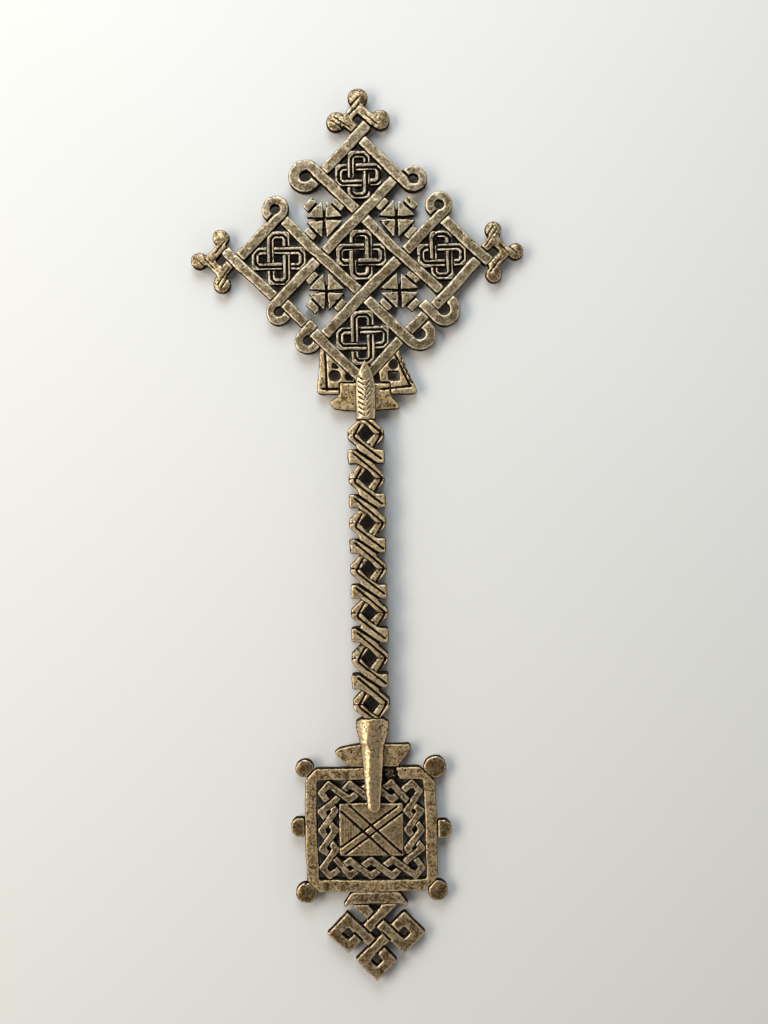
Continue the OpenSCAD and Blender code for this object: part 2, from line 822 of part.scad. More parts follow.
// Band from the left side of one eye down to the side block on the right, about the eye's middle
module grip_band() {
    half = grip_w / 2;
    block_y = -(grip_pitch - grip_block_h) / 2;
    polygon([
        [-half, 0],
        [-grip_eye_w / 2, 0],
        [0, -grip_eye_h / 2],
        [band_bend, block_y],
        [half, block_y],
        [half, block_y - grip_block_h],
        [band_bend, block_y - grip_block_h],
        [-band_bend, -grip_eye_h / 2 - band_w],
        [-half, -grip_side / 2]
    ]);
}

// Extrudes a flat outline evenly about the middle of the grip
module grip_slab(thickness) {
    translate([0, 0, (grip_t - thickness) / 2]) linear_extrude(thickness) children();
}

// Openwork grip: a pierced bar whose crossing bands stand proud on both faces
module grip() {
    color(metal) placed() translate([0, grip_top_y]) {
        grip_slab(grip_t - 2 * band_relief) grip_outline();
        grip_slab(grip_t) intersection() {
            grip_outline();
            for (i = [-1 : grip_eyes - 1])
                translate([0, -grip_end - (i + 0.5) * grip_pitch])
                    for (turn = [0, 180])
                        rotate(turn) translate([0, grip_pitch / 2]) grip_band();
        }
    }
}

// Rounds a bar along the grip's line across its width, less on the back than on the front
module crowned(radius) {
    intersection() {
        children();
        translate([0, 0, grip_t - radius]) rotate([90, 0, 0]) cylinder(h = 2 * far, r = radius, center = true);
        translate([0, 0, back_crown]) rotate([90, 0, 0]) cylinder(h = 2 * far, r = back_crown, center = true);
    }
}

// Slot of a fork, open upwards from the given height
module fork_slot(from) {
    translate([-far / 2, from, plate_z - slot_half]) cube([far, far, 2 * slot_half]);
}

// Upper fork: two leaf-shaped tongues that clasp the neck plate, front and back
module upper_fork() {
    root = upper_tongue_w / 2;
    tip = upper_tip_w / 2;
    length = upper_root + upper_tongue;
    color(light_metal) placed() translate([0, grip_top_y + braze_gap]) difference() {
        crowned(tongue_crown) linear_extrude(grip_t) polygon([
            [-root, 0],
            [-root, upper_root + upper_tongue / 2],
            [-tip, length - upper_point],
            [0, length],
            [tip, length - upper_point],
            [root, upper_root + upper_tongue / 2],
            [root, 0]
        ]);
        fork_slot(upper_root - braze_gap);
    }
}

// Lower fork: a cap under the grip and two round-ended tongues that clasp the base plate
module lower_fork() {
    cap = lower_cap_w / 2;
    root = lower_tongue_w / 2;
    tip = lower_tip_w / 2;
    length = lower_root + lower_tongue;
    color(light_metal) placed() translate([0, grip_foot_y - braze_gap]) {
        crowned(cap_crown) linear_extrude(grip_t) polygon([
            [lower_cap_blunt - cap, 0],
            [-cap, -lower_cap_blunt / 2],
            [-cap, -lower_cap_side],
            [-root, braze_gap - lower_root],
            [root, braze_gap - lower_root],
            [cap, -lower_cap_side],
            [cap, -lower_cap_blunt / 2],
            [cap - lower_cap_blunt, 0]
        ]);
        difference() {
            crowned(tongue_crown) linear_extrude(grip_t) {
                polygon([
                    [-root, -lower_cap_side],
                    [-root, braze_gap - lower_root],
                    [-tip, tip - length],
                    [tip, tip - length],
                    [root, braze_gap - lower_root],
                    [root, -lower_cap_side]
                ]);
                translate([0, tip - length]) circle(tip);
            }
            fork_slot(braze_gap - lower_root - far);
        }
    }
}

// Winged collar between the lower fork and the base frame
module base_collar() {
    color(metal) placed() slab(plate_t) polygon([
        [-lower_tongue_w / 2, collar_top_y],
        [-collar_wing + wing_tip, collar_top_y - wing_tip],
        [-collar_wing, collar_top_y - 2 * wing_tip],
        [-collar_foot, collar_top_y - collar_h],
        [collar_foot, collar_top_y - collar_h],
        [collar_wing, collar_top_y - wing_tip],
        [collar_wing - wing_tip / 2, collar_top_y],
        [lower_tongue_w / 2, collar_top_y]
    ]);
}

// Places a piece drawn about the middle of the base plate
module on_base() {
    placed() translate([base_off, base_mid_y]) children();
}

// Half-plane outside the slanting line where a corner knob meets the frame
module knob_side(spot, reach) {
    translate(spot) rotate(atan2(sign(spot[1]), sign(spot[0]))) beyond(-reach);
}

// Cut of the frame's corner for a knob
module knob_seat(spot, radius) {
    knob_side(spot, radius - knob_flat + braze_gap);
}

// Frame of the base plate, its corners cut for the knobs
module base_frame() {
    color(metal) on_base() slab(plate_t) difference() {
        square([base_w, base_h], center = true);
        square([base_w - 2 * base_bar, base_h - 2 * base_bar], center = true);
        knob_seat(knob_nw, knob_r_nw);
        knob_seat(knob_ne, knob_r_ne);
        knob_seat(knob_se, knob_r_se);
        knob_seat(knob_sw, knob_r_sw);
    }
}

// Round corner knob with a flat against the frame
module corner_knob(spot, radius) {
    color(light_metal) on_base() intersection() {
        translate([spot[0], spot[1], 0]) domed_knob(radius);
        slab(2 * plate_t) knob_side(spot, radius - knob_flat);
    }
}

module upper_left_knob() { corner_knob(knob_nw, knob_r_nw); }
module upper_right_knob() { corner_knob(knob_ne, knob_r_ne); }
module lower_right_knob() { corner_knob(knob_se, knob_r_se); }
module lower_left_knob() { corner_knob(knob_sw, knob_r_sw); }

// Side lug with blunted corners, drawn on the right
module side_lug(up) {
    color(light_metal) slab(plate_t) translate([base_w / 2 + braze_gap, up]) polygon([
        [0, -lug_h / 2],
        [lug_reach - lug_blunt, -lug_h / 2],
        [lug_reach, -lug_h / 2 + lug_blunt],
        [lug_reach, lug_h / 2 - lug_blunt],
        [lug_reach - lug_blunt, lug_h / 2],
        [0, lug_h / 2]
    ]);
}

module left_lug() { on_base() mirror([1, 0]) side_lug(left_lug_up); }
module right_lug() { on_base() side_lug(0); }

// Middle panel, held by the braid
module middle_panel() {
    color(light_metal) on_base() slab(plate_t) square([panel_w, panel_h], center = true);
}

// Middle of eye k, counted clockwise from the upper left corner
function braid_spot(k) =
    let (side = floor(k / braid_turns) % 4, share = (k % braid_turns) / braid_turns,
         from = corner_signs[side], to = corner_signs[(side + 1) % 4], at = from + (to - from) * share)
    [at[0] * braid_x, at[1] * braid_y];

// Outward direction at eye k, diagonal in the corners
function braid_out(k) =
    let (side = floor(k / braid_turns) % 4)
    k % braid_turns == 0 ? corner_signs[side] : side_normals[side];

// True where a strand passes outside eye k, which it does at every second eye
function strand_outside(k, phase) = (k + phase) % 2 == 0;

// True where a strand goes round a corner eye, where it bends twice: before the eye and after it
function strand_rounds(k, phase) = strand_outside(k, phase) && k % braid_turns == 0;

// Point where a strand passes eye k. Where it goes round a corner it lies out on the side that is given.
function strand_point(k, phase, side) =
    let (out = strand_rounds(k, phase) ? side_normals[side % 4] : braid_out(k),
         sign = strand_outside(k, phase) ? 1 : -1)
    braid_spot(k) + sign * [out[0] * swing[0], out[1] * swing[1]];

// Points where a strand leaves eye k and where it arrives at the next
function strand_from(k, phase) = strand_point(k, phase, floor(k / braid_turns));
function strand_to(k, phase) = strand_point(k + 1, phase, floor(k / braid_turns));

// Straight bar between two points
module bar(from, to, width) {
    step = to - from;
    translate(from) rotate(atan2(step[1], step[0])) translate([0, -width / 2]) square([norm(step), width]);
}

// Outline of one strand
module strand_outline(phase) {
    for (k = [0 : braid_eyes - 1]) {
        bar(strand_from(k, phase), strand_to(k, phase), braid_w);
        translate(strand_from(k, phase)) circle(bend_r);
        if (strand_rounds(k, phase)) {
            before = strand_to(k + braid_eyes - 1, phase);
            bar(before, strand_from(k, phase), braid_w);
            translate(before) circle(bend_r);
        }
    }
}

// Runs of the other strand at every second crossing, with their round ends, widened by the clearance
module strand_laps(phase, first) {
    width = braid_w + 2 * lap_gap;
    for (k = [first : 2 : braid_eyes - 1]) {
        from = strand_from(k, 1 - phase);
        to = strand_to(k, 1 - phase);
        bar(from, to, width);
        translate(from) circle(width / 2);
        translate(to) circle(width / 2);
    }
}

// One strand of the braid. Where it runs inwards, going clockwise, it passes over the other.
module braid_strand(phase) {
    color(dark_metal) on_base() woven(plate_t) {
        strand_outline(phase);
        strand_laps(phase, 1 - phase);
        strand_laps(phase, phase);
    }
}

module braid_first_strand() { braid_strand(0); }
module braid_second_strand() { braid_strand(1); }

// Flared bar under the base frame
module foot_bar() {
    color(metal) placed() slab(plate_t) polygon([
        [-foot_bar_top, base_foot_y - braze_gap],
        [foot_bar_top, base_foot_y - braze_gap],
        [foot_bar_tip, foot_bar_y + wing_tip],
        [foot_bar_tip - wing_tip / 2, foot_bar_y],
        [-foot_bar_tip + wing_tip / 2, foot_bar_y],
        [-foot_bar_tip, foot_bar_y + wing_tip]
    ]);
}

// Slits beside the upper strand at the crossings of the foot knot, on one face
module foot_slits(turned) {
    for (quarter = [0 : 3])
        rotate(90 * quarter) translate([foot_line, foot_line]) rotate(turned)
            for (side = [-1, 1])
                translate([0, side * foot_w / 2]) square([foot_w, lap_gap * 2], center = true);
}

// Looped-square knot at the foot, one strand that crosses itself four times
module foot_knot() {
    color(metal) placed() difference() {
        slab(plate_t) intersection() {
            translate([0, foot_mid_y]) rotate(45) for (quarter = [0 : 3]) rotate(90 * quarter) {
                difference() {
                    translate([foot_mid_hole, foot_mid_hole]) square(foot_out - foot_mid_hole);
                    translate([foot_mid_hole + foot_w, foot_mid_hole + foot_w]) square(foot_loop_hole);
                }
                translate([-foot_out, foot_mid_hole]) square([2 * foot_out, foot_w]);
            }
            translate([-far, foot_bar_y - braze_gap - far]) square([2 * far, far]);
        }
        translate([0, foot_mid_y, plate_z + plate_t / 2 - foot_slit_depth]) linear_extrude(plate_t)
            rotate(45) foot_slits(0);
        translate([0, foot_mid_y, plate_z - 3 * plate_t / 2 + foot_slit_depth]) linear_extrude(plate_t)
            rotate(45) foot_slits(90);
    }
}

long_strap_upper_left();
long_strap_lower_right();
long_strap_lower_left();
long_strap_upper_right();
top_left_edge();
top_right_edge();
left_upper_edge();
left_lower_edge();
right_upper_edge();
right_lower_edge();
bottom_left_edge();
bottom_right_edge();
left_link();
right_link();
top_knot_upright();
top_knot_level();
left_knot_upright();
left_knot_level();
middle_knot_upright();
middle_knot_level();
right_knot_upright();
right_knot_level();
bottom_knot_upright();
bottom_knot_level();
upper_left_flower();
upper_right_flower();
lower_left_flower();
lower_right_flower();
top_crosslet_knot();
left_crosslet_knot();
right_crosslet_knot();
neck_plate();
left_bracket();
right_bracket();
upper_fork();
grip();
lower_fork();
base_collar();
base_frame();
upper_left_knob();
upper_right_knob();
lower_left_knob();
lower_right_knob();
left_lug();
right_lug();
middle_panel();
braid_first_strand();
braid_second_strand();
foot_bar();
foot_knot();
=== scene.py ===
import json
import math

import bmesh
import bpy
import numpy as np
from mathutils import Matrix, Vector


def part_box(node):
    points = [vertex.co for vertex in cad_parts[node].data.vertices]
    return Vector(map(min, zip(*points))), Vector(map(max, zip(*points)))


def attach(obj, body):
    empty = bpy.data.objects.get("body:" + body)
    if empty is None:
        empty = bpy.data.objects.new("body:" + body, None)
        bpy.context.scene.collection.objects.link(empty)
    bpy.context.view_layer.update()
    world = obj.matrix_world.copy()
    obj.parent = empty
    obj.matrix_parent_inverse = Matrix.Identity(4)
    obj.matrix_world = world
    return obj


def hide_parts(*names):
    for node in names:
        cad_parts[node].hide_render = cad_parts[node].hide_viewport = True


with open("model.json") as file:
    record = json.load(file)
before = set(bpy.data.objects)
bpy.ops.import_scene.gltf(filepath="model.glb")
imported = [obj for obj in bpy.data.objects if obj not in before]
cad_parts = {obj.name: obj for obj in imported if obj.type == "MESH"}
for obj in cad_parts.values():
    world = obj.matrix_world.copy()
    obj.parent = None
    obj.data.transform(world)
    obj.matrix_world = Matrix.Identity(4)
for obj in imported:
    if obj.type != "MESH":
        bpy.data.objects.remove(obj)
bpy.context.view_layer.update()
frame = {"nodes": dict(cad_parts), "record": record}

bl_info = {
    "name": "Worn Brass Hand Cross",
    "version": (1, 0, 0),
    "blender": (4, 5, 0),
    "location": "3D View > Sidebar > Hand Cross",
    "description": "Dresses the pieces of a hand cross as cast, chased and worn brass",
    "category": "Object",
}

# Units
MM = 0.001
QUARTER = math.pi / 2

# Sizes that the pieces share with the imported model, in millimetres
KNOT_BAR = 2.4
GRIP_FIRST_EYE = 4.75
GRIP_PITCH = 15.0
GRIP_EYES = 7
FOOT_LINE = 3.3
FOOT_STRAND = 3.6

# Widths of the lumps in the hand-made unevenness, in millimetres
WARP_SIZE = 16.0
WOBBLE_SIZE = 7.0
TREMBLE_SIZE = 2.4
DENT_SIZE = 2.6
GRAIN_SIZE = 0.9
PIT_SIZE = 0.9

# Seed of the warp that all pieces share, and what each other draw adds to a piece's own seed
WARP_SEED = 7
TREMBLE_SEED = 5
DENT_SEED = 11
GRAIN_SEED = 17
PIT_SEED = 23
RING_SEED = 31

# Share of the soft dents that a full gloss has rubbed away
DENTS_RUBBED = 0.6

# Odd numbers that scramble a lattice point into a random number
AXIS_PRIMES = (73856093, 19349663, 83492791)
SEED_PRIME = 2654435761
SCRAMBLES = ((15, 2246822519), (13, 3266489917))
LAST_SHIFT = 16
LOW_BITS = np.uint64(0xFFFFFFFF)

# Lattice number of the frame's origin, which keeps the lattice numbers of all points above zero
LATTICE_START = 1000.0

LONG_STRAPS = (
    "long_strap_upper_left",
    "long_strap_lower_right",
    "long_strap_lower_left",
    "long_strap_upper_right",
)
CELL_EDGES = (
    "top_left_edge",
    "top_right_edge",
    "left_upper_edge",
    "left_lower_edge",
    "right_upper_edge",
    "right_lower_edge",
    "bottom_left_edge",
    "bottom_right_edge",
    "left_link",
    "right_link",
)
KNOT_PLACES = ("top", "left", "middle", "right", "bottom")
FLOWERS = ("upper_left_flower", "upper_right_flower", "lower_left_flower", "lower_right_flower")
CORNER_KNOBS = ("upper_left_knob", "upper_right_knob", "lower_left_knob", "lower_right_knob")
LUGS = ("left_lug", "right_lug")
STRANDS = ("braid_first_strand", "braid_second_strand")

# Material slot of each node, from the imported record
SLOTS = {row["node"]: row["material_slot"] for row in frame["record"]["subparts"]}


# Places

def box_mm(node):
    """Lowest and highest corner of a node, in millimetres."""
    low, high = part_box(node)
    return np.array(low) / MM, np.array(high) / MM


def middle_of(node):
    """Middle of a node's box, in millimetres."""
    low, high = box_mm(node)
    return (low + high) / 2


HEAD = middle_of("middle_knot_upright")


def turned(points, angle):
    """Points turned about the origin."""
    cosine = math.cos(angle)
    sine = math.sin(angle)
    return [(x * cosine - y * sine, x * sine + y * cosine) for x, y in points]


def moved(points, spot):
    """Points shifted to a spot."""
    return [(x + spot[0], y + spot[1]) for x, y in points]


# Numbers

def ramp(value, low, high):
    """Smooth step from 0 at low to 1 at high."""
    share = np.clip((value - low) / (high - low), 0, 1)
    return share * share * (3 - 2 * share)


def lattice_value(cells, seed):
    """Even random number from 0 to 1 for each whole-number lattice point."""
    mixed = np.full(cells.shape[:-1], seed * SEED_PRIME, dtype=np.uint64)
    for axis, prime in enumerate(AXIS_PRIMES):
        mixed = mixed ^ (cells[..., axis].astype(np.uint64) * np.uint64(prime))
    mixed = mixed & LOW_BITS
    for shift, prime in SCRAMBLES:
        mixed = ((mixed ^ (mixed >> np.uint64(shift))) * np.uint64(prime)) & LOW_BITS
    mixed = mixed ^ (mixed >> np.uint64(LAST_SHIFT))
    return mixed.astype(np.float64) / float(LOW_BITS)


def soft_noise(points, size, seed):
    """Smooth noise from -1 to 1 whose lumps are about as wide as size."""
    scaled = points / size + LATTICE_START
    base = np.floor(scaled)
    share = scaled - base
    share = share * share * (3 - 2 * share)
    cells = base.astype(np.int64)
    total = np.zeros(len(points))
    for dx in (0, 1):
        for dy in (0, 1):
            for dz in (0, 1):
                weight_x = share[:, 0] if dx else 1 - share[:, 0]
                weight_y = share[:, 1] if dy else 1 - share[:, 1]
                weight_z = share[:, 2] if dz else 1 - share[:, 2]
                corner = lattice_value(cells + np.array((dx, dy, dz)), seed)
                total += weight_x * weight_y * weight_z * corner
    return total * 2 - 1


# Cast pieces

class CastPiece:
    """A node's shape as an even mesh that can be rounded, carved and worn. Millimetres."""

    # Points closer than this are one point, in millimetres
    WELD = 0.0005
    # A slope is the upright part of the normal: 1 on a level face, 0 on a wall
    # Slope up to which most pieces stay dark, as patina and as painted shade on the walls and rims, and the
    # one from which all are bare
    STEEPEST = 0.55
    BARE_SLOPE = 0.96
    # Slopes between which a groove starts to cut
    CARVED_SLOPES = (0.3, 0.7)
    # Slopes between which a wall ends
    WALL_SLOPES = (0.2, 0.5)
    # Shares of a groove's depth between which it turns dark
    GROOVE_DARKENS = (0.1, 0.45)
    # Height's part in the outline's wobble, so that a wall shifts nearly as one
    WOBBLE_AXES = (1, 1, 0.2)
    # Noise at which pits would start and be full if none were wanted, and by how much they darken
    PIT_STARTS = 0.75
    PIT_ENDS = 0.95
    PIT_DARKENS = 0.6
    # Smoothing passes that show narrow and wide hollows, the depths over which these turn dark, and the
    # height over which a ridge is rubbed pale and given a painted highlight, in millimetres
    NARROW_PASSES = 10
    WIDE_PASSES = 40
    NARROW_HOLLOW = (0.01, 0.075)
    WIDE_HOLLOW = (0.05, 0.3)
    WIDE_DARKENS = 0.7
    RIDGE_HEIGHT = (0.015, 0.09)

    def __init__(self, node, step):
        self.node = node
        source = frame["nodes"][node].data.copy()
        welded = bmesh.new()
        welded.from_mesh(source)
        bmesh.ops.scale(welded, vec=(1 / MM,) * 3, verts=welded.verts)
        bmesh.ops.remove_doubles(welded, verts=welded.verts, dist=self.WELD)
        welded.to_mesh(source)
        welded.free()
        block = bpy.data.objects.new(node + "_block", source)
        bpy.context.collection.objects.link(block)
        evener = block.modifiers.new("Even mesh", "REMESH")
        evener.mode = "VOXEL"
        evener.voxel_size = step
        graph = bpy.context.evaluated_depsgraph_get()
        even = bpy.data.meshes.new_from_object(block.evaluated_get(graph))
        bpy.data.objects.remove(block)
        bpy.data.meshes.remove(source)
        self.points = np.empty(len(even.vertices) * 3)
        even.vertices.foreach_get("co", self.points)
        self.points = self.points.reshape(-1, 3)
        corners = np.empty(len(even.loops), dtype=np.int64)
        even.loops.foreach_get("vertex_index", corners)
        self.faces = corners.reshape(-1, 4)
        bpy.data.meshes.remove(even)
        sides = np.concatenate([self.faces[:, (i, (i + 1) % 4)] for i in range(4)])
        self.sides = np.unique(np.sort(sides, axis=1), axis=0)
        self.count = len(self.points)
        self.degree = np.bincount(self.sides.ravel(), minlength=self.count)[:, None]
        self.bare = np.ones(self.count)
        self.steepest = self.STEEPEST

    def neighbour_mean(self, values):
        """Mean of each vertex's neighbours."""
        first = self.sides[:, 0]
        second = self.sides[:, 1]
        mean = np.empty_like(values)
        for axis in range(values.shape[1]):
            total = np.bincount(first, values[second, axis], self.count)
            total += np.bincount(second, values[first, axis], self.count)
            mean[:, axis] = total
        return mean / self.degree

    def rounded(self, passes):
        """Points after so many passes of smoothing."""
        points = self.points
        for _ in range(passes):
            points = (points + self.neighbour_mean(points)) / 2
        return points

    def normals(self):
        """Unit normal at each vertex."""
        corners = self.points[self.faces]
        crossed = np.cross(corners[:, 2] - corners[:, 0], corners[:, 3] - corners[:, 1])
        total = np.empty_like(self.points)
        for axis in range(3):
            shares = [np.bincount(self.faces[:, i], crossed[:, axis], self.count) for i in range(4)]
            total[:, axis] = sum(shares)
        return total / np.maximum(np.linalg.norm(total, axis=1, keepdims=True), 1e-9)

    def closeness(self, lines, width):
        """Number for each vertex that falls from 1 on the lines to 0 at half the width from them."""
        nearest = np.full(self.count, np.inf)
        spot = self.points[:, :2]
        for line in lines:
            for start, end in zip(line[:-1], line[1:]):
                start = np.array(start)
                run = np.array(end) - start
                along = np.clip((spot - start) @ run / (run @ run), 0, 1)
                apart = np.linalg.norm(spot - start - along[:, None] * run, axis=1)
                nearest = np.minimum(nearest, apart)
        return np.clip(1 - nearest / (width / 2), 0, 1)

    def carve(self, lines, width, depth, flat=0.3, face=0, dark=1.0):
        """Sinks dark grooves along lines of points into the faces. A flat share of the width has full depth.
        Face 1 is the front only, -1 the back only."""
        close = self.closeness(lines, width)
        normal_z = self.normals()[:, 2]
        share = np.clip(close / (1 - flat), 0, 1) * ramp(np.abs(normal_z), *self.CARVED_SLOPES)
        if face:
            share[normal_z * face < 0] = 0
        self.points[:, 2] -= np.sign(normal_z) * depth * share
        self.bare *= 1 - dark * ramp(share, *self.GROOVE_DARKENS)

    def wobble(self, size, reach, seed):
        """Shifts the outline from side to side, as hand work does."""
        for axis in (0, 1):
            self.points[:, axis] += reach * soft_noise(self.points * self.WOBBLE_AXES, size, seed + axis)

    def dent(self, size, depth, seed):
        """Raises and sinks the surface gently."""
        self.points += self.normals() * (depth * soft_noise(self.points, size, seed))[:, None]

    def pit(self, size, depth, share, seed, where=1.0):
        """Sinks small dark pits over a share of the surface."""
        rough = soft_noise(self.points, size, seed)
        amount = where * ramp(rough, self.PIT_STARTS - share, self.PIT_ENDS - share / 2)
        self.points -= self.normals() * (depth * amount)[:, None]
        self.bare *= 1 - self.PIT_DARKENS * amount

    def depth_below(self, passes, normal):
        """How far each vertex lies below the smoothed surface."""
        return np.einsum("ij,ij->i", self.rounded(passes) - self.points, normal)

    def finish(self, slot, tone, warmth, gloss):
        """Makes the Blender object with its wear painted in, together with painted shade on its walls and a
        painted highlight on its edges, and hands it over to the frame.
        """
        normal = self.normals()
        slope = np.abs(normal[:, 2])
        hollow = self.depth_below(self.NARROW_PASSES, normal)
        wide_hollow = self.depth_below(self.WIDE_PASSES, normal)
        # Walls and steep rims turn dark: partly patina, partly painted shade that stands in for the shadow
        # along the outlines
        level = ramp(slope, self.steepest, min(2 * self.steepest, self.BARE_SLOPE))
        wear_and_wall_shade = self.bare * level * (1 - ramp(hollow, *self.NARROW_HOLLOW))
        wear_and_wall_shade = wear_and_wall_shade * (1 - self.WIDE_DARKENS * ramp(wide_hollow, *self.WIDE_HOLLOW))
        painted = {
            "wear_and_wall_shade": wear_and_wall_shade,
            # Pale convex edges: rubbed metal, and partly a painted highlight on the bevels
            "ridge_wear_and_highlight": ramp(-hollow, *self.RIDGE_HEIGHT) * level,
            "wall": 1 - ramp(slope, *self.WALL_SLOPES),
            "tone": np.full(self.count, tone),
            "warmth": np.full(self.count, warmth),
            "gloss": np.full(self.count, gloss),
        }
        mesh = bpy.data.meshes.new(self.node + "_cast")
        mesh.from_pydata(self.points * MM, [], self.faces)
        mesh.shade_smooth()
        for label, values in painted.items():
            numbers = mesh.attributes.new(label, "FLOAT", "POINT").data
            numbers.foreach_set("value", values.astype(np.float32))
        piece = bpy.data.objects.new(self.node + "_cast", mesh)
        bpy.context.collection.objects.link(piece)
        mesh.materials.append(bpy.data.materials["aged_" + slot])
        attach(piece, "root")
        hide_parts(self.node)


def cast(node, settings, seed, fine=False):
    """Starts a cast piece: an even mesh with softened edges and a hand-made wobble."""
    piece = CastPiece(node, (settings.fine_step if fine else settings.even_step) / MM)
    piece.points = piece.rounded(settings.fine_rounding if fine else settings.rounding)
    piece.wobble(WARP_SIZE, settings.warp / MM, WARP_SEED)
    piece.wobble(WOBBLE_SIZE, settings.wobble / MM, seed)
    piece.wobble(TREMBLE_SIZE, settings.tremble / MM, seed + TREMBLE_SEED)
    return piece


def wear_in(piece, settings, seed, tone=0.0, warmth=0.0, gloss=0.0):
    """Ends a cast piece: dents, pits and a last rounding, then its finish. Tone makes the face paler, warmth
    makes it more golden and mottled, gloss smoother."""
    piece.dent(DENT_SIZE, (1 - DENTS_RUBBED * gloss) * settings.dent / MM, seed + DENT_SEED)
    piece.dent(GRAIN_SIZE, settings.grain / MM, seed + GRAIN_SEED)
    piece.pit(PIT_SIZE, settings.pit / MM, settings.pitting, seed + PIT_SEED)
    piece.points = piece.rounded(1)
    piece.finish(SLOTS[piece.node], tone, warmth, gloss)


def groove(settings, wide=1.0, deep=1.0):
    """Width and depth of a chased line, as shares of the usual ones, in millimetres."""
    return wide * settings.groove_width / MM, deep * settings.groove_depth / MM


# Shader nodes

def feed(tree, socket, value):
    """Sets a node's input, or links it where the value is another node's output."""
    if isinstance(value, bpy.types.NodeSocket):
        tree.links.new(value, socket)
    else:
        socket.default_value = value


def new_node(tree, kind, **inputs):
    """A shader node with its inputs fed. A name such as input0 gives an input's number, and in other names an
    underscore stands for a space."""
    node = tree.nodes.new(kind)
    for name, value in inputs.items():
        key = int(name.removeprefix("input")) if name.startswith("input") else name.replace("_", " ")
        feed(tree, node.inputs[key], value)
    return node


def mix_colour(tree, factor, first, second):
    """Colour between two colours."""
    node = tree.nodes.new("ShaderNodeMix")
    node.data_type = "RGBA"
    for key, value in ((0, factor), (6, first), (7, second)):
        feed(tree, node.inputs[key], value)
    return node.outputs[2]


def multiply_colour(tree, factor, first, second):
    """First colour, tinted by the second as far as the factor says."""
    mixed = mix_colour(tree, factor, first, second)
    mixed.node.blend_type = "MULTIPLY"
    return mixed


def maths(tree, operation, first, second):
    """Result of an operation on two numbers."""
    node = new_node(tree, "ShaderNodeMath", input0=first, input1=second)
    node.operation = operation
    return node.outputs[0]


def added(tree, first, second):
    """Sum of two numbers."""
    return maths(tree, "ADD", first, second)


def taken_off(tree, first, second):
    """First number less the second."""
    return maths(tree, "SUBTRACT", first, second)


def times(tree, first, second):
    """Product of two numbers."""
    return maths(tree, "MULTIPLY", first, second)


def map_range(tree, value, low, high, to_low=0.0, to_high=1.0):
    """Smooth change of a number from one range to another."""
    node = tree.nodes.new("ShaderNodeMapRange")
    node.interpolation_type = "SMOOTHSTEP"
    for key, number in enumerate((value, low, high, to_low, to_high)):
        feed(tree, node.inputs[key], number)
    return node.outputs[0]


def noise(tree, place, scale, detail, rough):
    """Noise texture's number."""
    node = new_node(tree, "ShaderNodeTexNoise", Vector=place, Scale=scale, Detail=detail, Roughness=rough)
    return node.outputs["Fac"]


def attribute(tree, name):
    """A number that is painted on the mesh."""
    node = tree.nodes.new("ShaderNodeAttribute")
    node.attribute_name = name
    return node.outputs["Fac"]


def linear(colour):
    """Opaque colour for a shader socket."""
    return (colour[0], colour[1], colour[2], 1.0)


def mottle(tree, drift, colours):
    """Colour that passes through the given colours as the drift rises through its usual range."""
    node = tree.nodes.new("ShaderNodeValToRGB")
    tree.links.new(drift, node.inputs[0])
    stops = node.color_ramp.elements
    for i, (place, colour) in enumerate(colours):
        stop = stops[i] if i < len(stops) else stops.new(place)
        stop.position = place
        stop.color = linear(colour)
    return node.outputs[0]


# Finishes

# Noise patterns: scale per metre, detail and roughness
CLOUD = (380.0, 3.0, 0.55)
GRAIN = (1500.0, 4.0, 0.65)
SPECK = (1300.0, 3.0, 0.55)
PAPER_TOOTH = (900.0, 3.0, 0.55)
NOISE_MIDDLE = 0.5

# Parts of cloud and grain in the drift of the face's colour
CLOUD_PART = 0.4
GRAIN_PART = 0.6

# How far that drift swings on a plain face, how much more on a warm one and less on a glossy one
PLAIN_SWING = 0.6
WARM_SWING = 1.5
GLOSS_CALMS = 0.7

# Places on the drift at which the face is brown, plain and pale
BROWN_STOP = 0.41
FACE_STOP = 0.48
PALE_STOP = 0.58

# Small pits: what cloud and warmth add to the specks, and the range over which the sum opens a pit
PIT_CLOUD = 0.35
PIT_WARMTH = 0.09
PIT_RANGE = (0.79, 0.85)

# How ragged the border of the patina and the painted wall shade is, the range of wear and wall shade over
# which the metal turns bare, and the range of the drift over which dull metal shows on the walls
BORDER_RAGGED = 0.6
BARE_RANGE = (0.3, 0.7)
DULL_RANGE = (0.44, 0.56)

# Roughness of patina and of bare metal, the range between them, what grain adds and what gloss takes off
PATINA_ROUGH = 0.8
BARE_ROUGH = 0.38
ROUGH_RANGE = (-0.2, 0.9)
ROUGH_GRAIN = -0.3
GLOSS_SMOOTHS = 0.14

# Bump: parts of grain and pits, strength on a dull and on a glossy face, and height in metres
BUMP_GRAIN = 0.7
BUMP_PITS = -0.8
DULL_BUMP = 0.85
GLOSSY_BUMP = 0.18
BUMP_HEIGHT = 0.00014

# Bare metal: the range over which it turns metallic, how metallic it gets, and the patina's faint shine
METAL_RANGE = (0.2, 0.9)
METALLIC = 0.65
PATINA_SHINE = 0.04


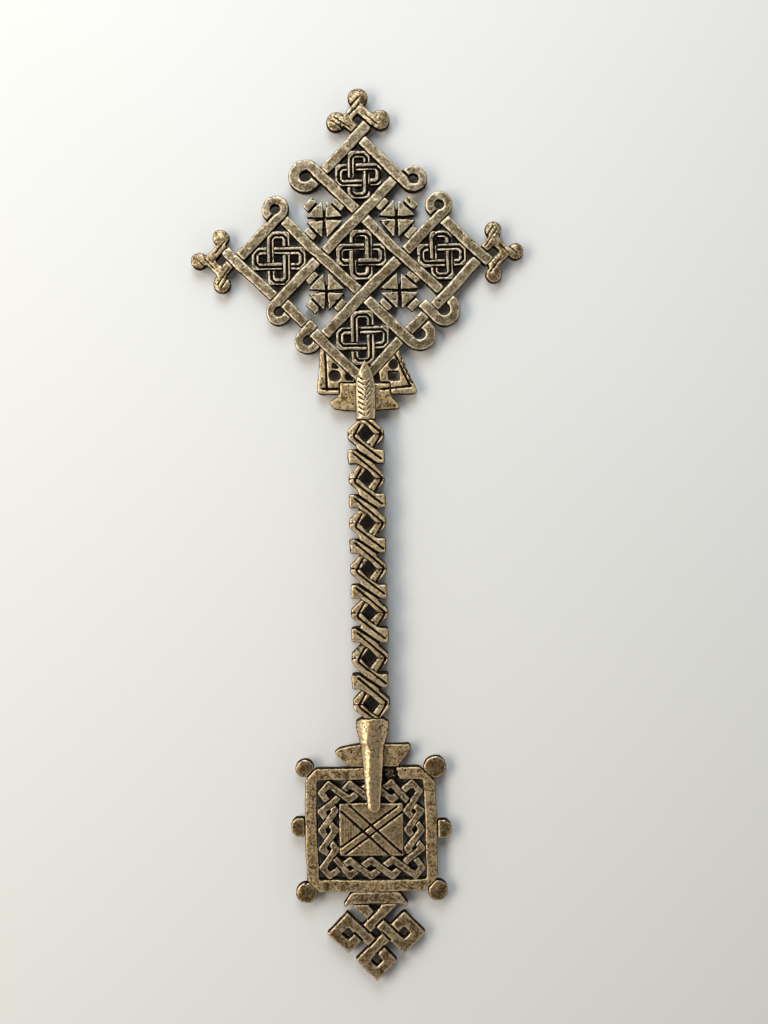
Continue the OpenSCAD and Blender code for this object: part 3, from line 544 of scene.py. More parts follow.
def make_finish(slot, finish, face):
    """Aged metal: black patina in the hollows, dark on the walls as patina and painted shade, mottled on the
    worn faces, pale along the edges as rubbed metal and painted highlight.
    """
    material = bpy.data.materials.new("aged_" + slot)
    material.use_nodes = True
    tree = material.node_tree
    tree.nodes.clear()
    place = tree.nodes.new("ShaderNodeTexCoord").outputs["Object"]
    warmth = attribute(tree, "warmth")
    gloss = attribute(tree, "gloss")
    cloud = noise(tree, place, *CLOUD)
    grain = noise(tree, place, *GRAIN)
    speck = noise(tree, place, *SPECK)
    # The face drifts from brown through its own colour to pale metal
    drift = added(tree, times(tree, cloud, CLOUD_PART), times(tree, grain, GRAIN_PART))
    swing = added(tree, times(tree, warmth, WARM_SWING), PLAIN_SWING)
    swing = taken_off(tree, swing, times(tree, gloss, GLOSS_CALMS))
    drift = added(tree, times(tree, taken_off(tree, drift, NOISE_MIDDLE), swing), NOISE_MIDDLE)
    drift = added(tree, drift, attribute(tree, "tone"))
    # Ridges drift paler: rubbed edges, and partly a painted highlight on the bevels
    drift = added(tree, drift, times(tree, attribute(tree, "ridge_wear_and_highlight"), finish.edge_wear_and_highlight_share))
    stops = ((BROWN_STOP, finish.brown_colour), (PALE_STOP, finish.pale_colour), (FACE_STOP, face))
    worn = mottle(tree, drift, stops)
    worn = multiply_colour(tree, warmth, worn, linear(finish.warm_tint))
    pitting = added(tree, speck, times(tree, cloud, PIT_CLOUD))
    pitting = added(tree, pitting, times(tree, warmth, PIT_WARMTH))
    pits = map_range(tree, pitting, *PIT_RANGE)
    worn = mix_colour(tree, times(tree, pits, finish.pit_share), worn, linear(finish.pit_colour))
    # The border of the patina and of the painted shade on the walls is ragged
    border = times(tree, taken_off(tree, grain, NOISE_MIDDLE), BORDER_RAGGED)
    bare = map_range(tree, added(tree, attribute(tree, "wear_and_wall_shade"), border), *BARE_RANGE)
    # Dull metal shows in patches through the patina and the painted shade on the walls
    dull = times(tree, attribute(tree, "wall"), map_range(tree, drift, *DULL_RANGE))
    patina_and_shade = mix_colour(tree, dull, linear(finish.patina_and_shade_colour), linear(finish.wall_colour))
    rough = added(tree, bare, times(tree, grain, ROUGH_GRAIN))
    rough = map_range(tree, rough, *ROUGH_RANGE, PATINA_ROUGH, BARE_ROUGH)
    bump = new_node(
        tree,
        "ShaderNodeBump",
        Strength=map_range(tree, gloss, 0.0, 1.0, DULL_BUMP, GLOSSY_BUMP),
        Distance=BUMP_HEIGHT,
        Height=added(tree, times(tree, grain, BUMP_GRAIN), times(tree, pits, BUMP_PITS)),
    )
    shader = new_node(
        tree,
        "ShaderNodeBsdfPrincipled",
        Base_Color=mix_colour(tree, bare, patina_and_shade, worn),
        Roughness=taken_off(tree, rough, times(tree, gloss, GLOSS_SMOOTHS)),
        Metallic=map_range(tree, bare, *METAL_RANGE, 0.0, METALLIC),
        Specular_IOR_Level=PATINA_SHINE,
        Normal=bump.outputs[0],
    )
    output = tree.nodes.new("ShaderNodeOutputMaterial")
    tree.links.new(shader.outputs[0], output.inputs[0])


# Settings

class CastSettings(bpy.types.PropertyGroup):
    """How the metal is cast and worn."""

    even_step: bpy.props.FloatProperty(
        name="Mesh Step", description="Spacing of the mesh on most pieces",
        default=0.27 * MM, unit="LENGTH", precision=5)
    fine_step: bpy.props.FloatProperty(
        name="Fine Mesh Step", description="Spacing of the mesh on the knots, flowers, panel and braid",
        default=0.23 * MM, unit="LENGTH", precision=5)
    rounding: bpy.props.IntProperty(
        name="Edge Rounding", description="Passes of smoothing that soften the cast edges",
        default=9, min=0)
    fine_rounding: bpy.props.IntProperty(
        name="Fine Edge Rounding", description="Passes of smoothing on the knots, flowers, panel and braid",
        default=5, min=0)
    warp: bpy.props.FloatProperty(
        name="Shared Warp", description="How far the whole work strays from the true, all pieces alike",
        default=0.42 * MM, unit="LENGTH", precision=5)
    wobble: bpy.props.FloatProperty(
        name="Outline Wobble", description="How far the outlines stray from the straight",
        default=0.19 * MM, unit="LENGTH", precision=5)
    tremble: bpy.props.FloatProperty(
        name="Outline Tremble", description="Small unevenness of the outlines",
        default=0.09 * MM, unit="LENGTH", precision=5)
    dent: bpy.props.FloatProperty(
        name="Dents", description="Depth of the soft dents in the faces",
        default=0.13 * MM, unit="LENGTH", precision=5)
    grain: bpy.props.FloatProperty(
        name="Cast Grain", description="Height of the fine unevenness of the cast faces",
        default=0.055 * MM, unit="LENGTH", precision=5)
    pit: bpy.props.FloatProperty(
        name="Pits", description="Depth of the casting pits",
        default=0.12 * MM, unit="LENGTH", precision=5)
    pitting: bpy.props.FloatProperty(
        name="Pitting", description="How much of the surface is pitted",
        default=0.16, subtype="FACTOR")
    groove_width: bpy.props.FloatProperty(
        name="Groove Width", description="Width of the chased lines",
        default=0.95 * MM, unit="LENGTH", precision=5)
    groove_depth: bpy.props.FloatProperty(
        name="Groove Depth", description="Depth of the chased lines",
        default=0.55 * MM, unit="LENGTH", precision=5)


class FinishSettings(bpy.types.PropertyGroup):
    """Colours of the aged metal."""

    body_colour: bpy.props.FloatVectorProperty(
        name="Body", description="Colour of the straps', neck's, grip's and frame's faces",
        default=(0.285, 0.225, 0.14), subtype="COLOR")
    pale_colour: bpy.props.FloatVectorProperty(
        name="Pale Metal", description="Colour where the faces are rubbed",
        default=(0.70, 0.58, 0.40), subtype="COLOR")
    dark_colour: bpy.props.FloatVectorProperty(
        name="Knots", description="Colour of the knots' and braid's faces",
        default=(0.29, 0.224, 0.15), subtype="COLOR")
    bright_colour: bpy.props.FloatVectorProperty(
        name="Rubbed Brass", description="Colour of the forks', flowers', knobs' and panel's faces",
        default=(0.38, 0.30, 0.183), subtype="COLOR")
    brown_colour: bpy.props.FloatVectorProperty(
        name="Brown Blotches", description="Colour of the tarnished blotches on the faces",
        default=(0.13, 0.084, 0.04), subtype="COLOR")
    warm_tint: bpy.props.FloatVectorProperty(
        name="Warm Tint", description="Tint of the more golden pieces, as at the neck and the base",
        default=(1.0, 0.80, 0.51), subtype="COLOR")
    pit_colour: bpy.props.FloatVectorProperty(
        name="Pits", description="Colour in the small pits",
        default=(0.065, 0.035, 0.013), subtype="COLOR")
    # Near-black colour of the patina in the hollows, also painted on the walls and rims as shade
    patina_and_shade_colour: bpy.props.FloatVectorProperty(
        name="Patina", description="Colour in the hollows and on the walls",
        default=(0.007, 0.005, 0.0035), subtype="COLOR")
    wall_colour: bpy.props.FloatVectorProperty(
        name="Walls", description="Colour of the dull metal on the walls",
        default=(0.05, 0.036, 0.021), subtype="COLOR")
    # Paleness of the ridges: rubbed metal, and partly a painted highlight on the bevels
    edge_wear_and_highlight_share: bpy.props.FloatProperty(
        name="Edge Wear", description="How much paler the worn edges are",
        default=0.16, subtype="FACTOR")
    pit_share: bpy.props.FloatProperty(
        name="Pit Darkness", description="How dark the small pits are",
        default=0.7, subtype="FACTOR")


class StageSettings(bpy.types.PropertyGroup):
    """Floor, lamps and camera."""

    floor_size: bpy.props.FloatProperty(
        name="Floor", description="Side of the paper floor",
        default=8.0, unit="LENGTH")
    floor_colour: bpy.props.FloatVectorProperty(
        name="Paper", description="Colour of the paper floor",
        default=(0.83, 0.82, 0.80), subtype="COLOR")
    surround_colour: bpy.props.FloatVectorProperty(
        name="Surround", description="Colour of the room and of the paper far from the cross",
        default=(1.0, 0.99, 0.97), subtype="COLOR")
    near_paper: bpy.props.FloatProperty(
        name="Near Paper", description="Distance from the middle where the paper starts to melt away",
        default=0.24, unit="LENGTH")
    far_paper: bpy.props.FloatProperty(
        name="Far Paper", description="Distance from the middle where the paper has melted into the room",
        default=0.42, unit="LENGTH")
    key_power: bpy.props.FloatProperty(
        name="Key Lamp", description="Power of the soft warm lamp on the left",
        default=4.85, unit="POWER")
    fill_power: bpy.props.FloatProperty(
        name="Fill Lamp", description="Power of the cool lamp over the head",
        default=2.65, unit="POWER")
    sky_strength: bpy.props.FloatProperty(
        name="Room Light", description="Strength of the even light from all round",
        default=0.75)
    overhead_strength: bpy.props.FloatProperty(
        name="Overhead Light", description="Strength of the even light straight overhead",
        default=0.03)
    camera_height: bpy.props.FloatProperty(
        name="Camera Height", description="Height of the camera over the faces",
        default=0.42, unit="LENGTH")
    view_height: bpy.props.FloatProperty(
        name="View Height", description="Height of the picture at the faces",
        default=0.34406, unit="LENGTH")
    lean: bpy.props.FloatProperty(
        name="Lean", description="How far the cross leans to the left in the picture",
        default=math.radians(1.2), unit="ROTATION")


# Pieces

class HANDCROSS_OT_finishes(bpy.types.Operator):
    """Make the three brass finishes"""

    bl_idname = "handcross.finishes"
    bl_label = "Brass Finishes"

    def execute(self, context):
        finish = context.scene.handcross_finish
        make_finish("worn_brass", finish, finish.body_colour)
        make_finish("dark_brass", finish, finish.dark_colour)
        make_finish("bright_brass", finish, finish.bright_colour)
        return {"FINISHED"}


class HANDCROSS_OT_straps(bpy.types.Operator):
    """Cast the woven straps, cell edges and links of the head"""

    bl_idname = "handcross.straps"
    bl_label = "Straps and Edges"

    FIRST_SEED = 100
    TOUCH = {"tone": -0.035, "warmth": 0.06}
    # Slits where a curl closes on its own strap, from the middle of the head along the lattice, which is
    # turned by half a quarter, in millimetres
    SLITS = {
        "long_strap_upper_left": ((7.5, 25.6), (7.5, 33.2)),
        "long_strap_upper_right": ((25.2, -7.5), (29.6, -7.5)),
        "top_right_edge": ((29.95, 5.8), (29.95, 9.9)),
        "left_upper_edge": ((-13.9, 31.05), (-9.8, 31.05)),
    }

    def execute(self, context):
        settings = context.scene.handcross_cast
        for seed, node in enumerate(LONG_STRAPS + CELL_EDGES, start=self.FIRST_SEED):
            strap = cast(node, settings, seed)
            if node in self.SLITS:
                slit = moved(turned(self.SLITS[node], QUARTER / 2), HEAD)
                strap.carve([slit], *groove(settings))
            wear_in(strap, settings, seed, **self.TOUCH)
        return {"FINISHED"}


def knot_groove(node):
    """Line along the middle of a knot ring's bars, blunt at the corners."""
    low, high = box_mm(node)
    x, y = (high - low)[:2] / 2 - KNOT_BAR / 2
    cut = KNOT_BAR / 2
    corner = [(x, y - cut), (x - cut, y)]
    loop = corner + [(-px, py) for px, py in reversed(corner)]
    loop += [(-px, -py) for px, py in loop]
    loop.append(loop[0])
    return moved(loop, (low + high) / 2)


class HANDCROSS_OT_knots(bpy.types.Operator):
    """Cast the five linked knots and chase a line along their bars"""

    bl_idname = "handcross.knots"
    bl_label = "Linked Knots"

    FIRST_SEED = 200
    TOUCH = {"tone": -0.05}
    # Slope up to which the narrow bars stay dark, as patina and as painted shade on their walls
    BAR_STEEPEST = 0.7
    # Width of the lumps in the rings' own wobble, in millimetres
    RING_WOBBLE = 4.5
    # The chased line's share of the usual width
    LINE_WIDTH = 0.95

    def execute(self, context):
        settings = context.scene.handcross_cast
        rings = [place + "_knot_" + way for place in KNOT_PLACES for way in ("upright", "level")]
        for seed, node in enumerate(rings, start=self.FIRST_SEED):
            ring = cast(node, settings, seed, fine=True)
            ring.wobble(self.RING_WOBBLE, settings.wobble / MM, seed + RING_SEED)
            ring.carve([knot_groove(node)], *groove(settings, self.LINE_WIDTH))
            ring.steepest = self.BAR_STEEPEST
            wear_in(ring, settings, seed, **self.TOUCH)
        return {"FINISHED"}


class HANDCROSS_OT_flowers(bpy.types.Operator):
    """Cast the four flowers"""

    bl_idname = "handcross.flowers"
    bl_label = "Flowers"

    FIRST_SEED = 300
    TOUCH = {"tone": -0.03}

    def execute(self, context):
        settings = context.scene.handcross_cast
        for seed, node in enumerate(FLOWERS, start=self.FIRST_SEED):
            wear_in(cast(node, settings, seed, fine=True), settings, seed, **self.TOUCH)
        return {"FINISHED"}


class HANDCROSS_OT_crosslets(bpy.types.Operator):
    """Cast the three crosslets and chase their bands"""

    bl_idname = "handcross.crosslets"
    bl_label = "Crosslets"

    FIRST_SEED = 400
    TOUCH = {"tone": -0.03, "warmth": 0.4, "gloss": 0.3}
    # Each crosslet and the quarters by which it is turned from the top one
    PLACES = (("top", 0), ("left", 1), ("right", -1))
    # Chased lines about the hole of the top crosslet, in millimetres
    LINES = (
        ((-2.2, 5.4), (0.5, 8.1)),
        ((-2.9, 2.2), (0.5, 5.4)),
        ((-8.9, 0.2), (-3.2, -3.8)),
        ((-8.0, 1.4), (-2.4, -2.6)),
        ((2.5, 2.0), (6.6, -1.3)),
    )
    # Their share of the usual width and depth, and how dark they are
    LINE_SHARE = 0.6
    LINE_DARK = 0.7

    def execute(self, context):
        settings = context.scene.handcross_cast
        for seed, (place, turn) in enumerate(self.PLACES, start=self.FIRST_SEED):
            node = place + "_crosslet_knot"
            low, high = box_mm(node)
            reach = (high - low).max() / 2
            hole = (low + high) / 2
            hole[:2] += turned([(0, (high - low)[:2].min() / 2 - reach)], turn * QUARTER)[0]
            piece = cast(node, settings, seed)
            lines = [moved(turned(line, turn * QUARTER), hole) for line in self.LINES]
            piece.carve(lines, *groove(settings, self.LINE_SHARE, self.LINE_SHARE), dark=self.LINE_DARK)
            wear_in(piece, settings, seed, **self.TOUCH)
        return {"FINISHED"}


class HANDCROSS_OT_neck(bpy.types.Operator):
    """Cast the neck plate and the two pierced brackets"""

    bl_idname = "handcross.neck"
    bl_label = "Neck and Brackets"

    FIRST_SEED = 500
    PLATE_TOUCH = {"tone": 0.05, "warmth": 0.65}
    BRACKET_TOUCH = {"tone": 0.05, "warmth": 0.5}
    # Chased lines from the middle of the head, in millimetres
    LEFT_LINES = (
        ((-13.1, -32.3), (-12.7, -45.1)),
        ((-14.4, -44.7), (-8.0, -44.9)),
    )
    RIGHT_LINES = (
        ((10.3, -33.4), (15.3, -44.3)),
        ((5.4, -45.2), (15.5, -44.3)),
    )
    # Broken line beside the right bracket's slanted edge: its ends, the reach and number of its steps, and
    # its share of the usual width and depth
    RIGHT_STEPS = ((12.2, -35.0), (15.9, -43.2))
    STEP_REACH = 0.3
    STEPS = 9
    STEP_SHARE = 0.7

    def execute(self, context):
        settings = context.scene.handcross_cast
        (start_x, start_y), (end_x, end_y) = self.RIGHT_STEPS
        steps = []
        for i in range(self.STEPS):
            along = i / (self.STEPS - 1)
            sway = self.STEP_REACH * (-1) ** i
            steps.append((start_x + along * (end_x - start_x) + sway, start_y + along * (end_y - start_y)))
        lines_of = {
            "neck_plate": self.RIGHT_LINES[1:],
            "left_bracket": self.LEFT_LINES,
            "right_bracket": self.RIGHT_LINES,
        }
        for seed, (node, lines) in enumerate(lines_of.items(), start=self.FIRST_SEED):
            piece = cast(node, settings, seed)
            piece.carve([moved(line, HEAD) for line in lines], *groove(settings))
            if node == "right_bracket":
                piece.carve([moved(steps, HEAD)], *groove(settings, self.STEP_SHARE, self.STEP_SHARE))
            touch = self.PLATE_TOUCH if node == "neck_plate" else self.BRACKET_TOUCH
            wear_in(piece, settings, seed, **touch)
        return {"FINISHED"}


class HANDCROSS_OT_forks(bpy.types.Operator):
    """Cast the two forks, with the chased herringbone on the upper one"""

    bl_idname = "handcross.forks"
    bl_label = "Forks"

    UPPER_SEED = 600
    LOWER_SEED = 601
    CAP_SEED = 602
    UPPER_TOUCH = {"tone": 0.03, "warmth": 0.35, "gloss": 0.6}
    LOWER_TOUCH = {"tone": 0.05, "warmth": 0.5, "gloss": 1.0}
    # Slope up to which the round rods stay dark, as patina and as painted shade along their outlines
    ROD_STEEPEST = 0.4
    # Chased strokes about the upper fork's middle line, in millimetres
    STROKES = 8
    FIRST_STROKE = 2.0
    STROKE_STEP = 1.7
    LEFT_STROKE = ((-2.1, 0.6), (-0.4, -0.6))
    RIGHT_STROKE = ((1.6, 0.8), (0.5, -0.8))
    MIDDLE_LINE = ((0, 0.6), (0, 8.0))
    # Their shares of the usual width and depth, and how dark they are
    LEFT_CUT = (0.65, 0.8, 0.9)
    RIGHT_CUT = (0.6, 0.35, 0.25)
    MIDDLE_CUT = (0.6, 0.3, 0.25)
    # Pitted patch on the lower fork's cap: its length, its range across from the middle line, the size and
    # depth of its pits, in millimetres, and how much of it is pitted
    CAP_PATCH = 8.0
    CAP_ACROSS = (-2.5, 0.5)
    CAP_PIT_SIZE = 0.75
    CAP_PIT_DEPTH = 0.15
    CAP_PITTING = 0.36

    def execute(self, context):
        settings = context.scene.handcross_cast
        upper = cast("upper_fork", settings, self.UPPER_SEED)
        upper.steepest = self.ROD_STEEPEST
        foot = (HEAD[0], box_mm("upper_fork")[0][1])
        spots = [(foot[0], foot[1] + self.FIRST_STROKE + i * self.STROKE_STEP) for i in range(self.STROKES)]
        cuts = (
            ([moved(self.LEFT_STROKE, spot) for spot in spots], self.LEFT_CUT),
            ([moved(self.RIGHT_STROKE, spot) for spot in spots], self.RIGHT_CUT),
            ([moved(self.MIDDLE_LINE, foot)], self.MIDDLE_CUT),
        )
        for lines, (wide, deep, dark) in cuts:
            upper.carve(lines, *groove(settings, wide, deep), face=1, dark=dark)
        wear_in(upper, settings, self.UPPER_SEED, **self.UPPER_TOUCH)
        lower = cast("lower_fork", settings, self.LOWER_SEED)
        lower.steepest = self.ROD_STEEPEST
        top = box_mm("lower_fork")[1][1]
        left, right = self.CAP_ACROSS
        on_cap = ramp(lower.points[:, 1], top - self.CAP_PATCH, top - self.CAP_PATCH / 2)
        on_cap *= ramp(lower.points[:, 0], HEAD[0] + left, HEAD[0] + right)
        lower.pit(self.CAP_PIT_SIZE, self.CAP_PIT_DEPTH, self.CAP_PITTING, self.CAP_SEED, on_cap)
        wear_in(lower, settings, self.LOWER_SEED, **self.LOWER_TOUCH)
        return {"FINISHED"}


class HANDCROSS_OT_grip(bpy.types.Operator):
    """Cast the openwork grip and chase its crossing bands"""

    bl_idname = "handcross.grip"
    bl_label = "Openwork Grip"

    SEED = 700
    TOUCH = {"tone": 0.07, "warmth": 0.45}
    # Chased lines about the middle of an eye, in millimetres
    BAND_LINES = (
        ((-1.9, 3.2), (-4.0, -0.5), (-3.6, -1.45), (5.1, -8.4)),
        ((-4.2, -6.4), (1.2, -11.1), (5.1, -14.6), (4.9, -15.6), (2.7, -19.2)),
    )
    # Deeper line that parts two bands, and its share of the usual depth
    PARTING_LINE = ((-4.2, -4.7), (4.0, -10.4))
    PARTING_DEPTH = 1.6

    def execute(self, context):
        settings = context.scene.handcross_cast
        top = box_mm("grip")[1][1]
        grip = cast("grip", settings, self.SEED)
        # A place above the first eye gives the bands at the grip's top
        eyes = [(HEAD[0], top - GRIP_FIRST_EYE - i * GRIP_PITCH) for i in range(-1, GRIP_EYES)]
        bands = [moved(line, eye) for eye in eyes for line in self.BAND_LINES]
        partings = [moved(self.PARTING_LINE, eye) for eye in eyes]
        grip.carve(bands, *groove(settings))
        grip.carve(partings, *groove(settings, deep=self.PARTING_DEPTH))
        wear_in(grip, settings, self.SEED, **self.TOUCH)
        return {"FINISHED"}


class HANDCROSS_OT_base(bpy.types.Operator):
    """Cast the collar, frame, lugs and corner knobs of the base plate"""

    bl_idname = "handcross.base"
    bl_label = "Base Frame and Knobs"

    FIRST_SEED = 800
    PLATE_TOUCH = {"tone": 0.03, "warmth": 0.6}
    KNOB_TOUCH = {"tone": -0.05, "warmth": 0.5, "gloss": 1.0}
    # Broken hollow in the frame's top bar beside the rod, sunk and painted dark: lines from the middle of the
    # head, their width and depth, in millimetres, and how they are cut
    HOLLOW = (
        ((4.0, -172.6), (6.9, -172.8)),
        ((4.0, -174.3), (7.3, -174.4)),
        ((4.0, -176.0), (7.8, -176.1)),
    )
    HOLLOW_WIDTH = 2.4
    HOLLOW_DEPTH = 0.9
    HOLLOW_CUT = {"flat": 0.6, "face": 1, "dark": 0.6}

    def execute(self, context):
        settings = context.scene.handcross_cast
        plates = ("base_collar", "base_frame")
        for seed, node in enumerate(plates + LUGS + CORNER_KNOBS, start=self.FIRST_SEED):
            piece = cast(node, settings, seed)
            if node == "base_frame":
                hollow = [moved(line, HEAD) for line in self.HOLLOW]
                piece.carve(hollow, self.HOLLOW_WIDTH, self.HOLLOW_DEPTH, **self.HOLLOW_CUT)
            touch = self.PLATE_TOUCH if node in plates else self.KNOB_TOUCH
            wear_in(piece, settings, seed, **touch)
        return {"FINISHED"}


class HANDCROSS_OT_panel(bpy.types.Operator):
    """Cast the middle panel and chase its crossed double lines"""

    bl_idname = "handcross.panel"
    bl_label = "Middle Panel"

    SEED = 900
    TOUCH = {"tone": 0.02, "warmth": 0.5, "gloss": 0.7}
    # Chased lines from the middle of the panel, in millimetres
    LINES = (
        ((-7.2, 8.4), (10.2, -8.1)),
        ((-10.0, 6.4), (6.5, -9.1)),
        ((8.9, 7.7), (-10.2, -5.7)),
        ((10.9, 6.0), (-8.9, -8.1)),
    )
    # Fine upright hatching in the left corner between the lines, in millimetres, its shares of the usual
    # width and depth, and how dark it is
    HATCHES = 6
    FIRST_HATCH = -9.4
    HATCH_STEP = 0.9
    HATCH_SLOPE = 0.5
    HATCH_WIDTH = 0.5
    HATCH_DEPTH = 0.2
    HATCH_DARK = 0.4

    def execute(self, context):
        settings = context.scene.handcross_cast
        middle = middle_of("middle_panel")
        panel = cast("middle_panel", settings, self.SEED, fine=True)
        panel.carve([moved(line, middle) for line in self.LINES], *groove(settings))
        hatch = []
        for i in range(self.HATCHES):
            x = self.FIRST_HATCH + i * self.HATCH_STEP
            reach = -x * self.HATCH_SLOPE
            hatch.append(moved(((x, -reach), (x, reach)), middle))
        fine_cut = groove(settings, self.HATCH_WIDTH, self.HATCH_DEPTH)
        panel.carve(hatch, *fine_cut, face=1, dark=self.HATCH_DARK)
        wear_in(panel, settings, self.SEED, **self.TOUCH)
        return {"FINISHED"}


class HANDCROSS_OT_braid(bpy.types.Operator):
    """Cast the two strands of the braid"""

    bl_idname = "handcross.braid"
    bl_label = "Braid"

    FIRST_SEED = 950
    TOUCH = {"tone": -0.025, "warmth": 0.25}
    # Slope up to which the narrow strands stay dark, as patina and as painted shade on their walls
    STRAND_STEEPEST = 0.72

    def execute(self, context):
        settings = context.scene.handcross_cast
        for seed, node in enumerate(STRANDS, start=self.FIRST_SEED):
            strand = cast(node, settings, seed, fine=True)
            strand.steepest = self.STRAND_STEEPEST
            wear_in(strand, settings, seed, **self.TOUCH)
        return {"FINISHED"}


class HANDCROSS_OT_foot(bpy.types.Operator):
    """Cast the foot bar and the looped foot knot"""

    bl_idname = "handcross.foot"
    bl_label = "Foot"

    BAR_SEED = 980
    KNOT_SEED = 981
    BAR_TOUCH = {"tone": -0.02, "warmth": 0.35}
    KNOT_TOUCH = {"tone": -0.02, "warmth": 0.4, "gloss": 0.4}
    # How far the bar's ends droop to a point, and over what length, in millimetres
    DROOP = 1.3
    DROOP_LENGTH = 2.6

    def execute(self, context):
        settings = context.scene.handcross_cast
        bar = cast("foot_bar", settings, self.BAR_SEED)
        low, high = box_mm("foot_bar")
        from_middle = np.abs(bar.points[:, 0] - (low + high)[0] / 2)
        end = (high - low)[0] / 2
        bar.points[:, 1] -= self.DROOP * ramp(from_middle, end - self.DROOP_LENGTH, end)
        wear_in(bar, settings, self.BAR_SEED, **self.BAR_TOUCH)
        low, high = box_mm("foot_knot")
        half = (high - low)[0] / 2
        middle = ((low + high)[0] / 2, low[1] + half)
        knot = cast("foot_knot", settings, self.KNOT_SEED)
        # Grooves beside the strand that passes over at each crossing, which is the other one on the back
        for face, first in ((1, 0), (-1, 1)):
            lines = []
            for side in (-1, 1):
                edge = side * FOOT_STRAND / 2
                run = turned([(-FOOT_STRAND / 2, edge), (FOOT_STRAND / 2, edge)], first * QUARTER)
                run = moved(run, (FOOT_LINE, FOOT_LINE))
                lines += [moved(turned(run, (i + 0.5) * QUARTER), middle) for i in range(4)]
            knot.carve(lines, *groove(settings), face=face)
        wear_in(knot, settings, self.KNOT_SEED, **self.KNOT_TOUCH)
        return {"FINISHED"}


# Stage

# Paper: roughness, faint shine, and the strength and height of its tooth, in metres
PAPER_ROUGH = 0.9
PAPER_SHINE = 0.2
TOOTH_STRENGTH = 0.25
TOOTH_HEIGHT = 0.0002

# Heights on the sky's ball, from 0 at the horizon to 1 overhead, between which the room's light dims
DIMMING = (0.3, 0.78)


def paper_material(stage):
    """Pale paper with a faint tooth that melts into the pale room far from the cross."""
    material = bpy.data.materials.new("pale_paper")
    material.use_nodes = True
    tree = material.node_tree
    shader = tree.nodes["Principled BSDF"]
    shader.inputs["Base Color"].default_value = linear(stage.floor_colour)
    shader.inputs["Roughness"].default_value = PAPER_ROUGH
    shader.inputs["Specular IOR Level"].default_value = PAPER_SHINE
    place = tree.nodes.new("ShaderNodeTexCoord").outputs["Object"]
    tooth = noise(tree, place, *PAPER_TOOTH)
    bump = new_node(tree, "ShaderNodeBump", Strength=TOOTH_STRENGTH, Distance=TOOTH_HEIGHT, Height=tooth)
    tree.links.new(bump.outputs[0], shader.inputs["Normal"])
    # The far paper looks like the room but lights nothing
    distance = new_node(tree, "ShaderNodeVectorMath", Vector=place)
    distance.operation = "LENGTH"
    far = map_range(tree, distance.outputs["Value"], stage.near_paper, stage.far_paper)
    path = tree.nodes.new("ShaderNodeLightPath")
    seen = maths(tree, "MAXIMUM", path.outputs["Is Camera Ray"], path.outputs["Is Glossy Ray"])
    seen = maths(tree, "MAXIMUM", seen, path.outputs["Is Transmission Ray"])
    colour = linear(stage.surround_colour)
    room = new_node(tree, "ShaderNodeEmission", Color=colour, Strength=stage.sky_strength).outputs[0]
    share = times(tree, far, seen)
    paper = shader.outputs[0]
    mixed = new_node(tree, "ShaderNodeMixShader", input0=share, input1=paper, input2=room)
    tree.links.new(mixed.outputs[0], tree.nodes["Material Output"].inputs[0])
    return material


def paper_floor(stage):
    """Square sheet of paper under the cross."""
    half = stage.floor_size / 2
    corners = [(-half, -half, 0), (half, -half, 0), (half, half, 0), (-half, half, 0)]
    mesh = bpy.data.meshes.new("paper_floor")
    mesh.from_pydata(corners, [], [(0, 1, 2, 3)])
    mesh.materials.append(paper_material(stage))
    floor = bpy.data.objects.new("paper_floor", mesh)
    bpy.context.scene.collection.objects.link(floor)


def soft_lamp(name, power, size, colour, spot):
    """Oblong area lamp that looks at the middle of the cross."""
    lamp = bpy.data.lights.new(name, "AREA")
    lamp.energy = power
    lamp.shape = "RECTANGLE"
    lamp.size, lamp.size_y = size
    lamp.color = colour
    holder = bpy.data.objects.new(name, lamp)
    bpy.context.collection.objects.link(holder)
    holder.location = spot
    holder.rotation_euler = (-Vector(spot)).to_track_quat("-Z", "Y").to_euler()


def pale_room(stage):
    """Even light from all round, dimmer overhead."""
    world = bpy.data.worlds.new("pale_room")
    world.use_nodes = True
    tree = world.node_tree
    height = tree.nodes.new("ShaderNodeSeparateXYZ")
    tree.links.new(tree.nodes.new("ShaderNodeTexCoord").outputs["Generated"], height.inputs[0])
    strength = map_range(tree, height.outputs[2], *DIMMING, stage.sky_strength, stage.overhead_strength)
    sky = tree.nodes["Background"]
    sky.inputs[0].default_value = linear(stage.surround_colour)
    tree.links.new(strength, sky.inputs[1])
    return world


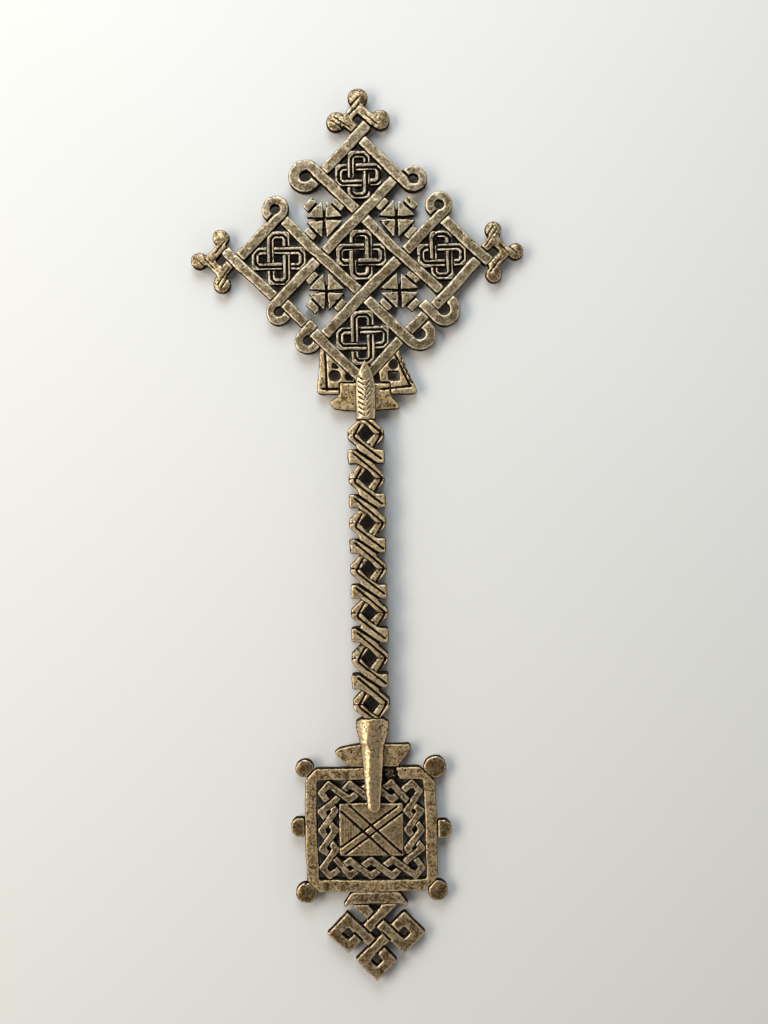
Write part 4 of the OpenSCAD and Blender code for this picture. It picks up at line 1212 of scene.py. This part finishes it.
class HANDCROSS_OT_stage(bpy.types.Operator):
    """Lay the paper floor and set the lamps and the camera"""

    bl_idname = "handcross.stage"
    bl_label = "Stage"

    # Length and height of the lamps, their colours and their places, in metres
    KEY_SIZE = (0.8, 0.34)
    KEY_COLOUR = (1.0, 0.93, 0.82)
    KEY_SPOT = (-0.57, 0.05, 0.65)
    FILL_SIZE = (0.4, 0.4)
    FILL_COLOUR = (0.82, 0.92, 1.0)
    FILL_SPOT = (-0.05, 0.50, 0.50)
    # Middle of the picture from the middle of the head, in millimetres
    PICTURE_MIDDLE = (5.58, -86.49)
    # Sensor's longer side in millimetres, and the nearest distance that the camera sees, in metres
    SENSOR = 36.0
    NEAREST = 0.01

    def execute(self, context):
        scene = context.scene
        stage = scene.handcross_stage
        paper_floor(stage)
        soft_lamp("key_lamp", stage.key_power, self.KEY_SIZE, self.KEY_COLOUR, self.KEY_SPOT)
        soft_lamp("fill_lamp", stage.fill_power, self.FILL_SIZE, self.FILL_COLOUR, self.FILL_SPOT)
        scene.world = pale_room(stage)
        lens = bpy.data.cameras.new("picture_camera")
        lens.sensor_fit = "AUTO"
        lens.sensor_width = self.SENSOR
        lens.lens = self.SENSOR * stage.camera_height / stage.view_height
        lens.clip_start = self.NEAREST
        camera = bpy.data.objects.new("picture_camera", lens)
        scene.collection.objects.link(camera)
        face_z = box_mm("neck_plate")[1][2]
        camera.location = (
            (HEAD[0] + self.PICTURE_MIDDLE[0]) * MM,
            (HEAD[1] + self.PICTURE_MIDDLE[1]) * MM,
            face_z * MM + stage.camera_height,
        )
        camera.rotation_euler = (0, 0, -stage.lean)
        scene.camera = camera
        scene.view_settings.view_transform = "Standard"
        return {"FINISHED"}


class HANDCROSS_PT_sidebar(bpy.types.Panel):
    """Sidebar that lists the pieces and their settings"""

    bl_idname = "HANDCROSS_PT_sidebar"
    bl_label = "Hand Cross"
    bl_space_type = "VIEW_3D"
    bl_region_type = "UI"
    bl_category = "Hand Cross"

    def draw(self, context):
        scene = context.scene
        for operator in OPERATORS:
            self.layout.operator(operator.bl_idname)
        for group in (scene.handcross_cast, scene.handcross_finish, scene.handcross_stage):
            box = self.layout.box()
            for name in group.__annotations__:
                box.prop(group, name)


SETTINGS = (CastSettings, FinishSettings, StageSettings)
OPERATORS = (
    HANDCROSS_OT_finishes,
    HANDCROSS_OT_straps,
    HANDCROSS_OT_knots,
    HANDCROSS_OT_flowers,
    HANDCROSS_OT_crosslets,
    HANDCROSS_OT_neck,
    HANDCROSS_OT_forks,
    HANDCROSS_OT_grip,
    HANDCROSS_OT_base,
    HANDCROSS_OT_panel,
    HANDCROSS_OT_braid,
    HANDCROSS_OT_foot,
    HANDCROSS_OT_stage,
)
CLASSES = SETTINGS + OPERATORS + (HANDCROSS_PT_sidebar,)


def register():
    for cls in CLASSES:
        bpy.utils.register_class(cls)
    bpy.types.Scene.handcross_cast = bpy.props.PointerProperty(type=CastSettings)
    bpy.types.Scene.handcross_finish = bpy.props.PointerProperty(type=FinishSettings)
    bpy.types.Scene.handcross_stage = bpy.props.PointerProperty(type=StageSettings)


def unregister():
    del bpy.types.Scene.handcross_stage
    del bpy.types.Scene.handcross_finish
    del bpy.types.Scene.handcross_cast
    for cls in reversed(CLASSES):
        bpy.utils.unregister_class(cls)


def main():
    register()
    bpy.ops.handcross.finishes()
    bpy.ops.handcross.straps()
    bpy.ops.handcross.knots()
    bpy.ops.handcross.flowers()
    bpy.ops.handcross.crosslets()
    bpy.ops.handcross.neck()
    bpy.ops.handcross.forks()
    bpy.ops.handcross.grip()
    bpy.ops.handcross.base()
    bpy.ops.handcross.panel()
    bpy.ops.handcross.braid()
    bpy.ops.handcross.foot()
    bpy.ops.handcross.stage()


if __name__ == "__main__":
    main()
